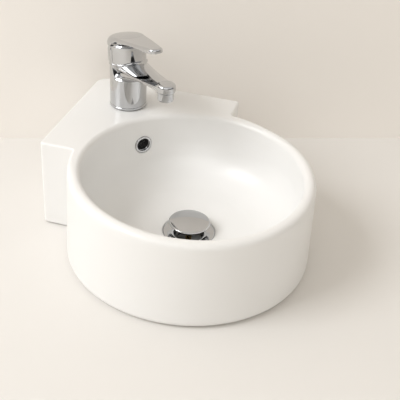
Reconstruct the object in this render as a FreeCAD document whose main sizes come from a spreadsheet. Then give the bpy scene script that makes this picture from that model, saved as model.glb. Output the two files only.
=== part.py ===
"""Corner basin with one-hole mixer and press-to-close waste, in millimetres.

Row frame: the origin is the room corner at deck level, +Z up, +Y into the corner, so the two
room walls are the planes x + y = 0 and y - x = 0 and the user stands at -Y.
"""

import FreeCAD, Part

import math
import os
import types

import Sketcher

# Name, number and meaning of every driving dimension.
SIZES = (
    # the casting
    ("wall_to_bowl", 195.0, "bowl axis to each room wall"),
    ("drum_radius", 150.0, "drum at the rim"),
    ("drum_flare", 3.0, "how much wider the drum is at its foot"),
    ("drum_height", 120.0, "deck to foot"),
    ("rim_round", 8.0, "rounding outside the rim"),
    ("lip_round", 7.0, "rounding inside the rim"),
    ("foot_round", 8.0, "rounding of the drum's foot"),
    ("block_side", 207.0, "deck block along each wall"),
    ("block_nose", 18.0, "rounding of the block's edge in the room corner"),
    ("block_corner", 5.0, "rounding of the block's end edges"),
    ("block_edge", 3.0, "rounding of the deck's and the foot's edges"),
    ("casting_wall", 11.0, "thickness of the china"),
    ("deck_depth", 14.0, "thickness of the deck"),
    ("rim_depth", 30.0, "height of the solid rim"),
    ("bowl_radius", 134.5, "inside of the bowl's wall"),
    ("bowl_turn_depth", 36.0, "where the bowl's wall starts to turn in"),
    ("bowl_turn", 54.0, "radius of the turn from wall to floor"),
    ("bowl_fall", 4.0, "fall of the floor from the turn to the waste"),
    # overflow
    ("overflow_depth", 39.0, "overflow hole below the deck"),
    ("overflow_hole", 9.5, "radius of the overflow hole"),
    ("overflow_flange", 11.2, "radius of the overflow ring"),
    ("overflow_bore", 8.2, "radius inside the overflow ring"),
    ("overflow_face", 1.8, "flange of the overflow ring"),
    ("overflow_spigot", 10.0, "overflow ring inside its hole"),
    ("overflow_seat", 0.3, "flat seat of the overflow ring behind the bowl's wall"),
    ("fixing_side", 130.0, "wall fixings to the other wall"),
    ("fixing_depth", 60.0, "wall fixings below the deck"),
    ("fixing_hole", 7.0, "radius of the wall fixings' holes"),
    ("bush_bore", 5.25, "radius for the wall bolt in its bush"),
    ("bush_flange", 11.0, "radius of the bush's flange"),
    ("bush_face", 2.5, "flange of the bush"),
    ("duct_width", 40.0, "overflow duct, outside"),
    ("duct_wall", 6.0, "wall of the overflow duct"),
    ("duct_reach", 25.5, "outside of the duct beyond the bowl's wall"),
    ("duct_turn", 67.0, "outer radius of the duct's bend"),
    ("duct_head", 1.5, "duct above the overflow hole"),
    ("duct_slot", 7.0, "height of the duct where it meets the waste"),
    # waste
    ("waste_hole", 23.0, "radius of the waste hole"),
    ("waste_boss", 38.0, "radius of the boss round the waste hole"),
    ("boss_depth", 117.0, "underside of the boss below the deck"),
    ("seat_depth", 98.0, "seat of the waste's flange below the deck"),
    ("flange_radius", 33.0, "flange of the waste"),
    ("flange_edge", 2.5, "edge of the flange"),
    ("gasket_thick", 1.5, "gasket under the flange"),
    ("tail_radius", 20.95, "G 1 1/4 thread of the waste, outside"),
    ("tail_bore", 18.4, "bore of the waste"),
    ("tail_length", 76.0, "waste below its flange"),
    ("trap_length", 31.0, "end of the waste that the trap takes"),
    ("tail_groove", 0.8, "depth of the thread's run-out groove"),
    ("dish_fall", 1.2, "fall of the flange to its throat"),
    ("throat_edge", 22.5, "where the flange turns down into the throat"),
    ("throat_depth", 6.0, "end of that turn below the flange's top"),
    ("throat_round", 4.6, "radius of that turn"),
    ("overflow_slot", 12.0, "width of the waste's overflow slots"),
    ("slot_height", 8.0, "height of the waste's overflow slots"),
    ("cross_depth", 40.0, "cross below the flange's top"),
    ("cross_thick", 5.0, "cross in the waste's bore"),
    ("cone_entry", 3.0, "rubber cone inside the waste hole"),
    ("cone_height", 6.0, "rubber cone under the boss"),
    ("washer_radius", 31.0, "rubber cone and slip washer"),
    ("slip_thick", 2.0, "slip washer"),
    ("backnut_height", 9.0, "backnut of the waste"),
    ("backnut_flats", 52.0, "backnut across its flats"),
    # plug
    ("plug_radius", 26.0, "cap of the plug"),
    ("plug_rise", 17.0, "top of the open plug above the flange"),
    ("plug_dome", 2.2, "crown of the cap"),
    ("plug_rim", 2.6, "edge of the cap"),
    ("seal_top", 20.2, "seal under the cap"),
    ("seal_height", 6.5, "height of the seal"),
    ("plunger_radius", 4.0, "stem of the plug"),
    ("click_radius", 7.5, "click cartridge"),
    ("click_height", 23.0, "click cartridge above the cross"),
    ("click_floor", 2.0, "floor of the click cartridge"),
    ("plunger_foot", 22.0, "lower end of the open plug's stem below the flange"),
    ("spring_radius", 2.6, "middle of the spring's wire"),
    ("spring_wire", 0.45, "radius of the spring's wire"),
    # mixer: body
    ("tap_offset", 93.0, "tap axis to the room corner"),
    ("tap_hole", 17.5, "radius of the tap hole"),
    ("base_radius", 24.5, "foot of the mixer"),
    ("base_ring_height", 3.0, "ring under the mixer"),
    ("base_gasket_height", 1.0, "gasket under the ring"),
    ("waist_radius", 25.0, "mixer where the spout leaves it"),
    ("tilt", 10.0, "cartridge leaning back from upright, degrees"),
    ("knee_height", 55.0, "where the neck's axis leaves the tap axis"),
    ("neck_radius", 26.0, "neck of the mixer"),
    ("neck_ledge", 7.0, "ledge under the neck, from the knee"),
    ("neck_top", 30.4, "top of the neck, from the knee"),
    ("spout_reach", 107.0, "tap axis to the outlet"),
    ("spout_root", 24.8, "half width of the spout at the tap axis"),
    ("spout_under", 43.0, "underside of the spout's root above the deck"),
    ("spout_side", 59.5, "side edge of the spout's root above the deck"),
    ("spout_crown", 24.0, "crown of the spout's root above its side edge"),
    ("spout_hollow", 1.4, "hollow of the spout's flanks"),
    ("nose_side", 73.0, "side edge of the nose above the deck"),
    ("nose_crown", 3.0, "crown of the nose above its side edge"),
    ("spout_bore", 3.0, "radius of the waterway in the spout"),
    ("spout_bore_lean", 81.4, "angle of that waterway from the vertical, degrees"),
    ("spout_bore_start", 60.0, "height of that waterway at the cartridge"),
    ("nose_radius", 11.8, "nose of the spout"),
    ("nose_bottom", 67.0, "underside of the nose above the deck"),
    ("nose_top", 77.0, "top of the nose above the deck"),
    ("nose_round", 4.0, "rounding of the nose"),
    ("waterway", 4.0, "radius of the waterways"),
    ("inlet_minor", 4.5, "M10 x 1 inlet thread, as cut"),
    ("inlet_depth", 14.0, "length of the inlet thread"),
    ("inlet_side", 7.5, "inlets to each side of the tap axis"),
    ("inlet_front", 4.0, "inlets before the tap axis"),
    ("stud_radius", 3.0, "M6 stud"),
    ("stud_back", 12.5, "stud behind the tap axis"),
    ("stud_length", 62.0, "stud below the mixer"),
    ("stud_grip", 10.0, "stud in the mixer"),
    ("clamp_radius", 24.0, "horseshoe plate and washer"),
    ("clamp_gap", 14.0, "half the opening of the horseshoe"),
    ("clamp_end", 4.0, "end of that opening behind the tap axis"),
    ("clamp_rubber", 3.0, "rubber horseshoe"),
    ("clamp_steel", 2.5, "steel horseshoe"),
    ("nut_flats", 10.0, "stud nut across its flats"),
    ("nut_height", 12.0, "long stud nut"),
    # mixer: outlet
    ("aerator_radius", 10.0, "aerator housing"),
    ("aerator_height", 12.0, "aerator below the nose"),
    ("aerator_grip", 7.0, "aerator inside the nose"),
    ("aerator_core", 8.2, "insert of the aerator"),
    # mixer: cartridge, measured from the knee along the leaning axis
    ("cartridge_radius", 17.5, "35 mm cartridge"),
    ("cartridge_neck", 14.3, "cartridge above its shoulder"),
    ("cartridge_shoulder", 19.0, "shoulder of the cartridge"),
    ("cartridge_top", 26.0, "top of the cartridge"),
    ("port_seal", 1.2, "seal under the cartridge"),
    ("port_radius", 3.6, "ports of the cartridge"),
    ("base_plate", 2.0, "base of the cartridge"),
    ("disc_thick", 3.2, "ceramic discs"),
    ("disc_radius", 14.8, "fixed disc"),
    ("disc_room", 15.5, "room round the discs"),
    ("moving_radius", 11.3, "moving disc"),
    ("slider_thick", 3.0, "slider over the moving disc"),
    ("rotor_radius", 10.0, "rotor of the cartridge"),
    ("rotor_bottom", 12.4, "lower face of the rotor"),
    ("rotor_flange", 13.5, "flange that keeps the rotor in"),
    ("rotor_flange_thick", 2.0, "its thickness"),
    ("pivot_height", 18.0, "pivot of the lever"),
    ("pin_radius", 1.5, "pivot pin"),
    ("pin_length", 16.0, "pivot pin"),
    ("stem_side", 8.0, "square of the valve stem"),
    ("stem_bottom", 14.5, "lower end of the stem's square"),
    ("stem_top", 37.0, "top of the valve stem"),
    ("finger_radius", 2.5, "ball at the stem's foot"),
    ("finger_height", 11.4, "middle of that ball"),
    ("nut_ring_radius", 21.0, "clamp nut"),
    ("nut_ring_height", 5.0, "threaded part of the clamp nut"),
    ("nut_hex_height", 3.0, "hexagon of the clamp nut"),
    ("nut_hex_flats", 34.0, "clamp nut across its flats"),
    ("collar_radius", 27.2, "ball shape of the shroud about the pivot"),
    ("collar_bore", 19.9, "bore of the shroud"),
    ("collar_top", 35.2, "highest edge of the shroud"),
    ("collar_slope", 0.17, "fall of the shroud's edge to the back"),
    ("collar_middle", 31.8, "shroud's edge beside the axis"),
    ("collar_spigot", 2.8, "shroud inside the neck"),
    ("fit_gap", 0.05, "running clearance on a radius"),
    ("face_gap", 0.3, "clearance between curved or moving faces"),
    # handle
    ("lift_range", 22.0, "lift of the lever, degrees"),
    ("skirt_bottom", 31.0, "lower edge of the handle"),
    ("skirt_wall", 1.4, "handle's skirt at its edge"),
    ("handle_top", 42.2, "top of the handle"),
    ("handle_round", 8.0, "rounding of the handle's top"),
    ("handle_dome", 0.7, "dome of the handle's top"),
    ("blade_reach", 91.0, "tip of the lever from the neck's axis"),
    ("blade_root", 21.5, "half width of the lever at the neck"),
    ("blade_tip", 10.0, "half width of the lever at its tip"),
    ("blade_thick", 5.6, "lever at its tip"),
    ("blade_start", 6.0, "first section of the lever before the neck's axis"),
    ("blade_waist", 45.0, "middle section of the lever before the neck's axis"),
    ("arch_radius", 14.0, "arches in the handle's skirt"),
    ("arch_top", 35.4, "top of those arches"),
    ("arch_angle", 52.0, "arches from the lever's middle, degrees"),
    ("arch_start", 15.0, "arches from the neck's axis"),
    ("hub_radius", 8.0, "hub round the stem"),
    ("hub_bottom", 32.5, "lower end of the hub"),
    ("screw_radius", 2.0, "M4 grub screw"),
    ("screw_height", 35.0, "grub screw above the knee"),
    ("screw_length", 5.0, "grub screw"),
    ("button_radius", 3.2, "button over the grub screw"),
)


class Size(float):
    """A number that remembers the formula of sheet cells that it comes from."""

    def __new__(cls, number, formula):
        size = float.__new__(cls, number)
        size.formula = formula
        return size

    def __add__(self, other):
        return Size(float(self) + other, f"({self.formula} + {formula(other)})")

    def __radd__(self, other):
        return self + other

    def __sub__(self, other):
        return Size(float(self) - other, f"({self.formula} - {formula(other)})")

    def __rsub__(self, other):
        return Size(other - float(self), f"({formula(other)} - {self.formula})")

    def __mul__(self, other):
        return Size(float(self) * other, f"({self.formula} * {formula(other)})")

    def __rmul__(self, other):
        return self * other

    def __truediv__(self, other):
        return Size(float(self) / other, f"({self.formula} / {formula(other)})")

    def __rtruediv__(self, other):
        return Size(other / float(self), f"({formula(other)} / {self.formula})")

    def __neg__(self):
        return Size(-float(self), f"(0 - {self.formula})")


def formula(value):
    return getattr(value, "formula", f"({float(value):.6f})")


def root(size):
    return Size(math.sqrt(size), f"sqrt({size.formula})")


def sine(angle):
    return Size(math.sin(math.radians(angle)), f"sin({angle.formula})")


def cosine(angle):
    return Size(math.cos(math.radians(angle)), f"cos({angle.formula})")


def make_sheet(doc):
    """The sheet of driving dimensions, and the same sizes for the functions below."""
    sheet = doc.addObject("Spreadsheet::Sheet", "sizes")
    known = types.SimpleNamespace()
    for row, (name, number, meaning) in enumerate(SIZES, start=1):
        sheet.set(f"A{row}", name)
        sheet.set(f"B{row}", str(number))
        sheet.set(f"C{row}", meaning)
        sheet.setAlias(f"B{row}", name)
        setattr(known, name, Size(number, f"sizes.{name}"))
    doc.recompute()
    return known


doc = FreeCAD.newDocument("corner_basin")
s = make_sheet(doc)

# Places that several pieces share.
DIAGONAL = root(Size(2.0, "2"))
BOWL_Y = -(s.wall_to_bowl * DIAGONAL)
TAP_Y = -s.tap_offset
FLANGE_Z = -(s.seat_depth - s.gasket_thick - s.flange_edge)
BOWL_TURN_R = s.bowl_radius - s.bowl_turn
UNDER_DECK = -s.deck_depth
BODY_Z = s.base_gasket_height + s.base_ring_height
SHELL_R = s.bowl_radius + s.casting_wall
BOWL_FLOOR = s.bowl_turn_depth + s.bowl_turn
DUCT_Y = s.bowl_radius + s.duct_reach
DUCT_TOP = s.overflow_depth - s.overflow_hole - s.duct_head
HANDLE_SHOULDER = s.handle_top - s.handle_dome
DISC_Z = s.base_plate + s.disc_thick + s.fit_gap
PIECES = []


# ---------------------------------------------------------------- building helpers


def bind(item, **sizes):
    """Set properties of an object, and bind those that come from the sheet."""
    for name, value in sizes.items():
        setattr(item, name, float(value))
        if isinstance(value, Size):
            item.setExpression(name, value.formula)


def place(item, x=0.0, y=0.0, z=0.0, axis=(1, 0, 0), angle=0.0):
    """Place an object, with each coordinate bound to the sheet."""
    turn = FreeCAD.Rotation(FreeCAD.Vector(*axis), float(angle))
    item.Placement = FreeCAD.Placement(FreeCAD.Vector(float(x), float(y), float(z)), turn)
    for name, value in (("x", x), ("y", y), ("z", z)):
        if isinstance(value, Size):
            item.setExpression(f"Placement.Base.{name}", value.formula)
    if isinstance(angle, Size):
        item.setExpression("Placement.Rotation.Angle", angle.formula)


def piece(name, **where):
    """A new sub-part: a body with its label and its place in the row frame."""
    body = doc.addObject("PartDesign::Body", name)
    body.Label = name
    place(body, **where)
    PIECES.append(body)
    return body


def at_bowl(name, z=0.0):
    return piece(name, y=BOWL_Y, z=z)


def at_tap(name, z=0.0):
    return piece(name, y=TAP_Y, z=z)


def at_neck(name):
    """A sub-part on the leaning axis: its +Z follows the cartridge, its -Y the spout."""
    return piece(name, y=TAP_Y, z=s.knee_height, angle=-s.tilt)


def new_sketch(body, plane, offset=0.0, turn=0.0):
    """An empty sketch on one of the body's own origin planes, moved along its normal."""
    sketch = body.newObject("Sketcher::SketchObject", f"{body.Name}_outline")
    origin = [item for item in body.Origin.OriginFeatures if item.Role == f"{plane}_Plane"]
    sketch.AttachmentSupport = [(origin[0], "")]
    sketch.MapMode = "FlatFace"
    spin = FreeCAD.Rotation(FreeCAD.Vector(0, 0, 1), float(turn))
    sketch.AttachmentOffset = FreeCAD.Placement(FreeCAD.Vector(0, 0, float(offset)), spin)
    if isinstance(offset, Size):
        sketch.setExpression("AttachmentOffset.Base.z", offset.formula)
    return sketch


def fix_point(sketch, item, end, x, y):
    """Hold one sketch point at x, y with dimensions that follow the sheet."""
    for value, kind, axis in ((x, "DistanceX", -2), (y, "DistanceY", -1)):
        if abs(value) < 1e-9:
            sketch.addConstraint(Sketcher.Constraint("PointOnObject", item, end, axis))
            continue
        rule = Sketcher.Constraint(kind, -1, 1, item, end, float(value))
        index = sketch.addConstraint(rule)
        if isinstance(value, Size):
            sketch.setExpression(f"Constraints[{index}]", value.formula)


def arc_through(start, end, radius, side):
    """Arc from start to end; side 1 puts its centre left of the chord, -1 right of it."""
    chord = end - start
    half = chord.Length / 2
    rise = math.sqrt(max(float(radius) ** 2 - half**2, 0.0))
    left = FreeCAD.Vector(-chord.y, chord.x, 0).normalize()
    centre = start + chord / 2 + left * (rise * side)
    first, last = (start, end) if side > 0 else (end, start)
    angles = [math.atan2(p.y - centre.y, p.x - centre.x) for p in (first, last)]
    circle = Part.Circle(centre, FreeCAD.Vector(0, 0, 1), float(radius))
    return Part.ArcOfCircle(circle, angles[0], angles[1])


def outline(sketch, *steps):
    """Closed outline. A step is (x, y), reached by a line, or (x, y, radius, side), by an arc."""
    spots = [FreeCAD.Vector(float(step[0]), float(step[1]), 0) for step in steps]
    joins = []
    for index, step in enumerate(steps):
        start, end = spots[index - 1], spots[index]
        if len(step) == 2:
            item = sketch.addGeometry(Part.LineSegment(start, end))
            joins.append((item, 1, 2))
            continue
        side = step[3]
        item = sketch.addGeometry(arc_through(start, end, step[2], side))
        joins.append((item, 1, 2) if side > 0 else (item, 2, 1))
        rule = sketch.addConstraint(Sketcher.Constraint("Radius", item, float(step[2])))
        if isinstance(step[2], Size):
            sketch.setExpression(f"Constraints[{rule}]", step[2].formula)
    for index, step in enumerate(steps):
        item, _, end = joins[index]
        after, begin, _ = joins[(index + 1) % len(joins)]
        sketch.addConstraint(Sketcher.Constraint("Coincident", item, end, after, begin))
        fix_point(sketch, item, end, step[0], step[1])


def circle(sketch, radius, x=0.0, y=0.0):
    ring = Part.Circle(FreeCAD.Vector(float(x), float(y), 0), FreeCAD.Vector(0, 0, 1), float(radius))
    item = sketch.addGeometry(ring)
    rule = sketch.addConstraint(Sketcher.Constraint("Radius", item, float(radius)))
    if isinstance(radius, Size):
        sketch.setExpression(f"Constraints[{rule}]", radius.formula)
    fix_point(sketch, item, 3, x, y)


def lean_back(sketch):
    """Stand the sketch on the knee, with its own Y along the leaning axis."""
    turn = FreeCAD.Rotation(FreeCAD.Vector(-1, 0, 0), float(s.tilt))
    sketch.AttachmentOffset = FreeCAD.Placement(FreeCAD.Vector(0, float(s.knee_height), 0), turn)
    sketch.setExpression("AttachmentOffset.Base.y", s.knee_height.formula)
    sketch.setExpression("AttachmentOffset.Rotation.Angle", s.tilt.formula)


def spin(body, *steps, cut=False, ahead=0.0, leaning=False):
    """Revolve an outline of (radius, height) about the body's own Z axis, or one ahead of it."""
    sketch = new_sketch(body, "XZ", offset=ahead)
    if leaning:
        lean_back(sketch)
    outline(sketch, *steps)
    kind = "PartDesign::Groove" if cut else "PartDesign::Revolution"
    feature = body.newObject(kind, f"{body.Name}_turned")
    feature.Profile = sketch
    feature.ReferenceAxis = (sketch, ["V_Axis"])
    feature.Angle = 360.0
    doc.recompute()
    return feature


def extrude(body, sketch, length, cut=False, up=True, both=False):
    """Pad or pocket a sketch by a length, up or down along the sketch's normal."""
    kind = "PartDesign::Pocket" if cut else "PartDesign::Pad"
    feature = body.newObject(kind, f"{body.Name}_extruded")
    feature.Profile = sketch
    bind(feature, Length=length)
    feature.Midplane = both
    feature.Reversed = up if cut else not up
    doc.recompute()
    return feature


def rod(body, radius, height, cut=False, **where):
    """Add or cut a cylinder placed in the body's own frame."""
    kind = "PartDesign::SubtractiveCylinder" if cut else "PartDesign::AdditiveCylinder"
    feature = body.newObject(kind, f"{body.Name}_rod")
    bind(feature, Radius=radius, Height=height)
    place(feature, **where)
    doc.recompute()
    return feature


def brick(body, length, width, height, cut=False, **where):
    """Add or cut a box whose placed point is the middle of its lower face."""
    kind = "PartDesign::SubtractiveBox" if cut else "PartDesign::AdditiveBox"
    feature = body.newObject(kind, f"{body.Name}_brick")
    bind(feature, Length=length, Width=width, Height=height)
    where["x"] = where.get("x", 0.0) - length / 2
    where["y"] = where.get("y", 0.0) - width / 2
    place(feature, **where)
    doc.recompute()
    return feature


def loft(body, sketches):
    feature = body.newObject("PartDesign::AdditiveLoft", f"{body.Name}_loft")
    feature.Profile = sketches[0]
    feature.Sections = sketches[1:]
    doc.recompute()
    return feature


def edges_where(feature, test):
    edges = feature.Shape.Edges
    return [f"Edge{n}" for n, edge in enumerate(edges, start=1) if test(edge.BoundBox)]


def soften(body, feature, radius, test):
    """Round the edges whose box passes the test."""
    names = edges_where(feature, test)
    fillet = body.newObject("PartDesign::Fillet", f"{body.Name}_fillet")
    fillet.Base = (feature, names)
    bind(fillet, Radius=radius)
    doc.recompute()
    return fillet


def hexagon(flats):
    """Corners of a hexagon with the given width across its flats, one corner on +X."""
    reach = flats / math.sqrt(3.0)
    return [
        (reach, 0.0),
        (reach / 2, flats / 2),
        (-reach / 2, flats / 2),
        (-reach, 0.0),
        (-reach / 2, -flats / 2),
        (reach / 2, -flats / 2),
    ]


# ---------------------------------------------------------------- the china


def from_walls(left, right):
    """Place in the bowl's frame of a point at these distances from the two room walls."""
    return (left - right) / DIAGONAL, -BOWL_Y - (left + right) / DIAGONAL


def deck_block(body):
    side, nose, end = s.block_side, s.block_nose, s.block_corner
    sketch = new_sketch(body, "XY")
    outline(
        sketch,
        (*from_walls(nose, 0.0), nose, -1),
        from_walls(side - end, 0.0),
        (*from_walls(side, end), end, -1),
        from_walls(side, side),
        from_walls(end, side),
        (*from_walls(0.0, side - end), end, -1),
        from_walls(0.0, nose),
    )
    block = extrude(body, sketch, s.drum_height, up=False)
    soften(body, block, s.block_edge, lambda box: box.ZLength < 1e-3)


def drum(body):
    crest = s.drum_radius - s.rim_round
    foot = s.drum_radius + s.drum_flare
    spin(
        body,
        (0.0, 0.0),
        (crest, 0.0),
        (s.drum_radius, -s.rim_round, s.rim_round, -1),
        (foot, s.foot_round - s.drum_height),
        (foot - s.foot_round, -s.drum_height, s.foot_round, -1),
        (0.0, -s.drum_height),
    )


def open_underside(body):
    """Hollow the block and the drum from below."""
    wall, far = s.casting_wall, s.block_side - s.casting_wall
    sketch = new_sketch(body, "XY", offset=-s.drum_height)
    outline(
        sketch,
        from_walls(wall, wall),
        from_walls(far, wall),
        from_walls(far, far),
        from_walls(wall, far),
    )
    extrude(body, sketch, s.drum_height - s.deck_depth, cut=True)
    sketch = new_sketch(body, "XY", offset=-s.drum_height)
    circle(sketch, s.drum_radius - wall)
    extrude(body, sketch, s.drum_height - s.rim_depth, cut=True)


def bowl_shell(body):
    """The bowl's outer side and the boss round the waste."""
    under = BOWL_FLOOR + s.casting_wall
    spin(
        body,
        (0.0, UNDER_DECK / 2),
        (SHELL_R, UNDER_DECK / 2),
        (SHELL_R, -s.bowl_turn_depth),
        (BOWL_TURN_R, -under, s.bowl_turn + s.casting_wall, -1),
        (s.waste_boss, -under - s.bowl_fall / 2),
        (s.waste_boss, -s.boss_depth),
        (0.0, -s.boss_depth),
    )


def overflow_duct(body):
    """The duct's outer walls, behind and under the bowl."""
    centre_y, centre_z = DUCT_Y - s.duct_turn, s.duct_turn - s.boss_depth
    top = s.duct_wall - DUCT_TOP
    sketch = new_sketch(body, "YZ")
    outline(
        sketch,
        (s.waste_hole, top),
        (DUCT_Y, top),
        (DUCT_Y, centre_z),
        (centre_y, -s.boss_depth, s.duct_turn, -1),
        (s.waste_hole, -s.boss_depth),
    )
    extrude(body, sketch, s.duct_width, both=True)


def bowl_inside(body):
    crest = s.bowl_radius + s.lip_round
    recess = s.flange_radius + s.overflow_seat
    through = -s.boss_depth - 1.0
    spin(
        body,
        (0.0, 0.0),
        (crest, 0.0),
        (s.bowl_radius, -s.lip_round, s.lip_round, 1),
        (s.bowl_radius, -s.bowl_turn_depth),
        (BOWL_TURN_R, -BOWL_FLOOR, s.bowl_turn, -1),
        (recess, -BOWL_FLOOR - s.bowl_fall),
        (recess, -s.seat_depth),
        (s.waste_hole, -s.seat_depth),
        (s.waste_hole, through),
        (0.0, through),
        cut=True,
    )


def overflow_passage(body):
    """Hollow of the duct, from the overflow hole down to the waste hole."""
    outer = s.duct_turn - s.duct_wall
    centre_y, centre_z = DUCT_Y - s.duct_turn, s.duct_turn - s.boss_depth
    floor = s.duct_wall - s.boss_depth
    inside = s.waste_hole - 2.0
    turn = s.bowl_turn + s.casting_wall - 2.0
    sketch = new_sketch(body, "YZ")
    outline(
        sketch,
        (BOWL_TURN_R + turn, -DUCT_TOP),
        (DUCT_Y - s.duct_wall, -DUCT_TOP),
        (DUCT_Y - s.duct_wall, centre_z),
        (centre_y, floor, outer, -1),
        (inside, floor),
        (inside, floor + s.duct_slot),
        (BOWL_TURN_R, -s.bowl_turn_depth - turn),
        (BOWL_TURN_R + turn, -s.bowl_turn_depth, turn, 1),
    )
    extrude(body, sketch, s.duct_width - s.duct_wall * 2, cut=True, both=True)
    hole_y = s.bowl_radius - s.casting_wall
    reach = s.casting_wall * 2 + s.duct_wall / 2
    rod(body, s.overflow_hole, reach, cut=True, y=hole_y, z=-s.overflow_depth, angle=-90)
    seat = s.overflow_flange + s.face_gap
    depth = s.casting_wall + s.overflow_seat
    rod(body, seat, depth, cut=True, y=hole_y, z=-s.overflow_depth, angle=-90)


def deck_holes(body):
    """The tap hole and one fixing hole towards each wall."""
    rod(body, s.tap_hole, s.deck_depth + 2.0, cut=True, y=TAP_Y - BOWL_Y, z=UNDER_DECK - 1.0)
    deep = s.casting_wall + 1.0
    for spots, axis in (((s.fixing_side, deep), (-1, 1, 0)), ((deep, s.fixing_side), (-1, -1, 0))):
        x, y = from_walls(*spots)
        rod(body, s.fixing_hole, deep + 1.0, cut=True, x=x, y=y, z=-s.fixing_depth, axis=axis, angle=90)


def basin():
    body = at_bowl("basin")
    deck_block(body)
    drum(body)
    open_underside(body)
    bowl_shell(body)
    overflow_duct(body)
    bowl_inside(body)
    overflow_passage(body)
    deck_holes(body)


def wall_bushes():
    """A flanged plastic bush in the fixing hole of each wall."""
    across = (s.fixing_side - s.casting_wall) / DIAGONAL
    behind = (s.fixing_side + s.casting_wall) / DIAGONAL
    bush = doc.addObject("PartDesign::Body", "bush")
    place(bush, x=across, y=-behind, z=-s.fixing_depth, axis=(-1, 1, 0), angle=90)
    sleeve = s.fixing_hole - s.face_gap
    end = s.casting_wall - s.face_gap
    spin(
        bush,
        (s.bush_bore, -s.bush_face),
        (s.bush_flange, -s.bush_face),
        (s.bush_flange, 0.0),
        (sleeve, 0.0),
        (sleeve, end),
        (s.bush_bore, end),
    )
    other = doc.addObject("Part::Mirroring", "other_bush")
    other.Source = bush
    other.Normal = (1, 0, 0)
    pair = doc.addObject("Part::Compound", "wall_bushes")
    pair.Label = "wall_bushes"
    pair.Links = [bush, other]
    PIECES.append(pair)


def overflow_ring():
    """Its own +Z points out of the hole, towards the bowl's axis."""
    behind = s.bowl_radius + s.overflow_seat
    body = piece("overflow_ring", y=BOWL_Y + behind, z=-s.overflow_depth, angle=90)
    edge = s.overflow_face / 2
    spigot = s.overflow_hole - s.face_gap
    spin(
        body,
        (s.overflow_bore, -s.overflow_spigot),
        (spigot, -s.overflow_spigot),
        (spigot, 0.0),
        (s.overflow_flange, 0.0),
        (s.overflow_flange, edge),
        (s.overflow_flange - edge, s.overflow_face, edge, 1),
        (s.overflow_bore + edge, s.overflow_face),
        (s.overflow_bore, edge, edge, 1),
    )


# ---------------------------------------------------------------- the waste


def waste_body():
    body = at_bowl("waste_body", z=FLANGE_Z)
    edge = s.flange_edge / 2
    groove = s.trap_length - s.tail_length
    spin(
        body,
        (s.tail_bore, -s.tail_length),
        (s.tail_radius, -s.tail_length),
        (s.tail_radius, groove),
        (s.tail_radius - s.tail_groove, groove),
        (s.tail_radius - s.tail_groove, groove + s.tail_groove * 2),
        (s.tail_radius, groove + s.tail_groove * 2),
        (s.tail_radius, -s.flange_edge),
        (s.flange_radius, -s.flange_edge),
        (s.flange_radius, -edge),
        (s.flange_radius - edge, 0.0, edge, 1),
        (s.throat_edge, -s.dish_fall),
        (s.tail_bore, -s.throat_depth, s.throat_round, 1),
    )
    slot_z = -s.boss_depth + s.duct_wall - FLANGE_Z - 0.5
    brick(body, s.overflow_slot, s.tail_radius * 2 + 2.0, s.slot_height, cut=True, z=slot_z)
    span = s.tail_bore + s.tail_radius
    low = -s.cross_depth - s.cross_thick
    brick(body, span, s.cross_thick, s.cross_thick, z=low)
    brick(body, s.cross_thick, span, s.cross_thick, z=low)
    rod(body, s.click_radius, s.cross_thick, z=low)


def ring(name, inner, outer, thick, z, where=at_bowl):
    """A flat ring whose lower face is at z."""
    body = where(name, z=z)
    sketch = new_sketch(body, "XY")
    circle(sketch, outer)
    circle(sketch, inner)
    extrude(body, sketch, thick)
    return body


def waste_seals():
    around = s.tail_radius + s.face_gap
    under = FLANGE_Z - s.flange_edge - s.gasket_thick
    ring("waste_gasket", around, s.flange_radius - s.face_gap, s.gasket_thick, under)
    cone = at_bowl("waste_cone_washer", z=-s.boss_depth)
    entry = s.waste_hole - s.face_gap
    spin(
        cone,
        (around, -s.cone_height),
        (s.washer_radius, -s.cone_height),
        (s.washer_radius, 0.0),
        (entry, 0.0),
        (entry - s.cone_entry / 3, s.cone_entry),
        (around, s.cone_entry),
    )
    below = -s.boss_depth - s.cone_height - s.slip_thick
    ring("waste_slip_washer", around, s.washer_radius, s.slip_thick, below)


def nut(name, flats, bore, height, where, z, y=0.0):
    """A hexagon nut with a round bearing face on top."""
    body = where(name, z=z)
    sketch = new_sketch(body, "XY")
    outline(sketch, *[(x, y + corner) for x, corner in hexagon(flats)])
    circle(sketch, bore, y=y)
    blank = extrude(body, sketch, height)
    return body, blank


def waste_backnut():
    top = -s.boss_depth - s.cone_height - s.slip_thick
    bore = s.tail_radius + s.fit_gap
    nut("waste_backnut", s.backnut_flats, bore, s.backnut_height, at_bowl, top - s.backnut_height)


def click_cartridge():
    body = at_bowl("click_cartridge", z=FLANGE_Z - s.cross_depth)
    bore = s.plunger_radius + s.fit_gap
    spin(
        body,
        (0.0, 0.0),
        (s.click_radius, 0.0),
        (s.click_radius, s.click_height - 1.5),
        (s.click_radius - 1.5, s.click_height),
        (bore, s.click_height),
        (bore, s.click_floor),
        (0.0, s.click_floor),
    )


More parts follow.
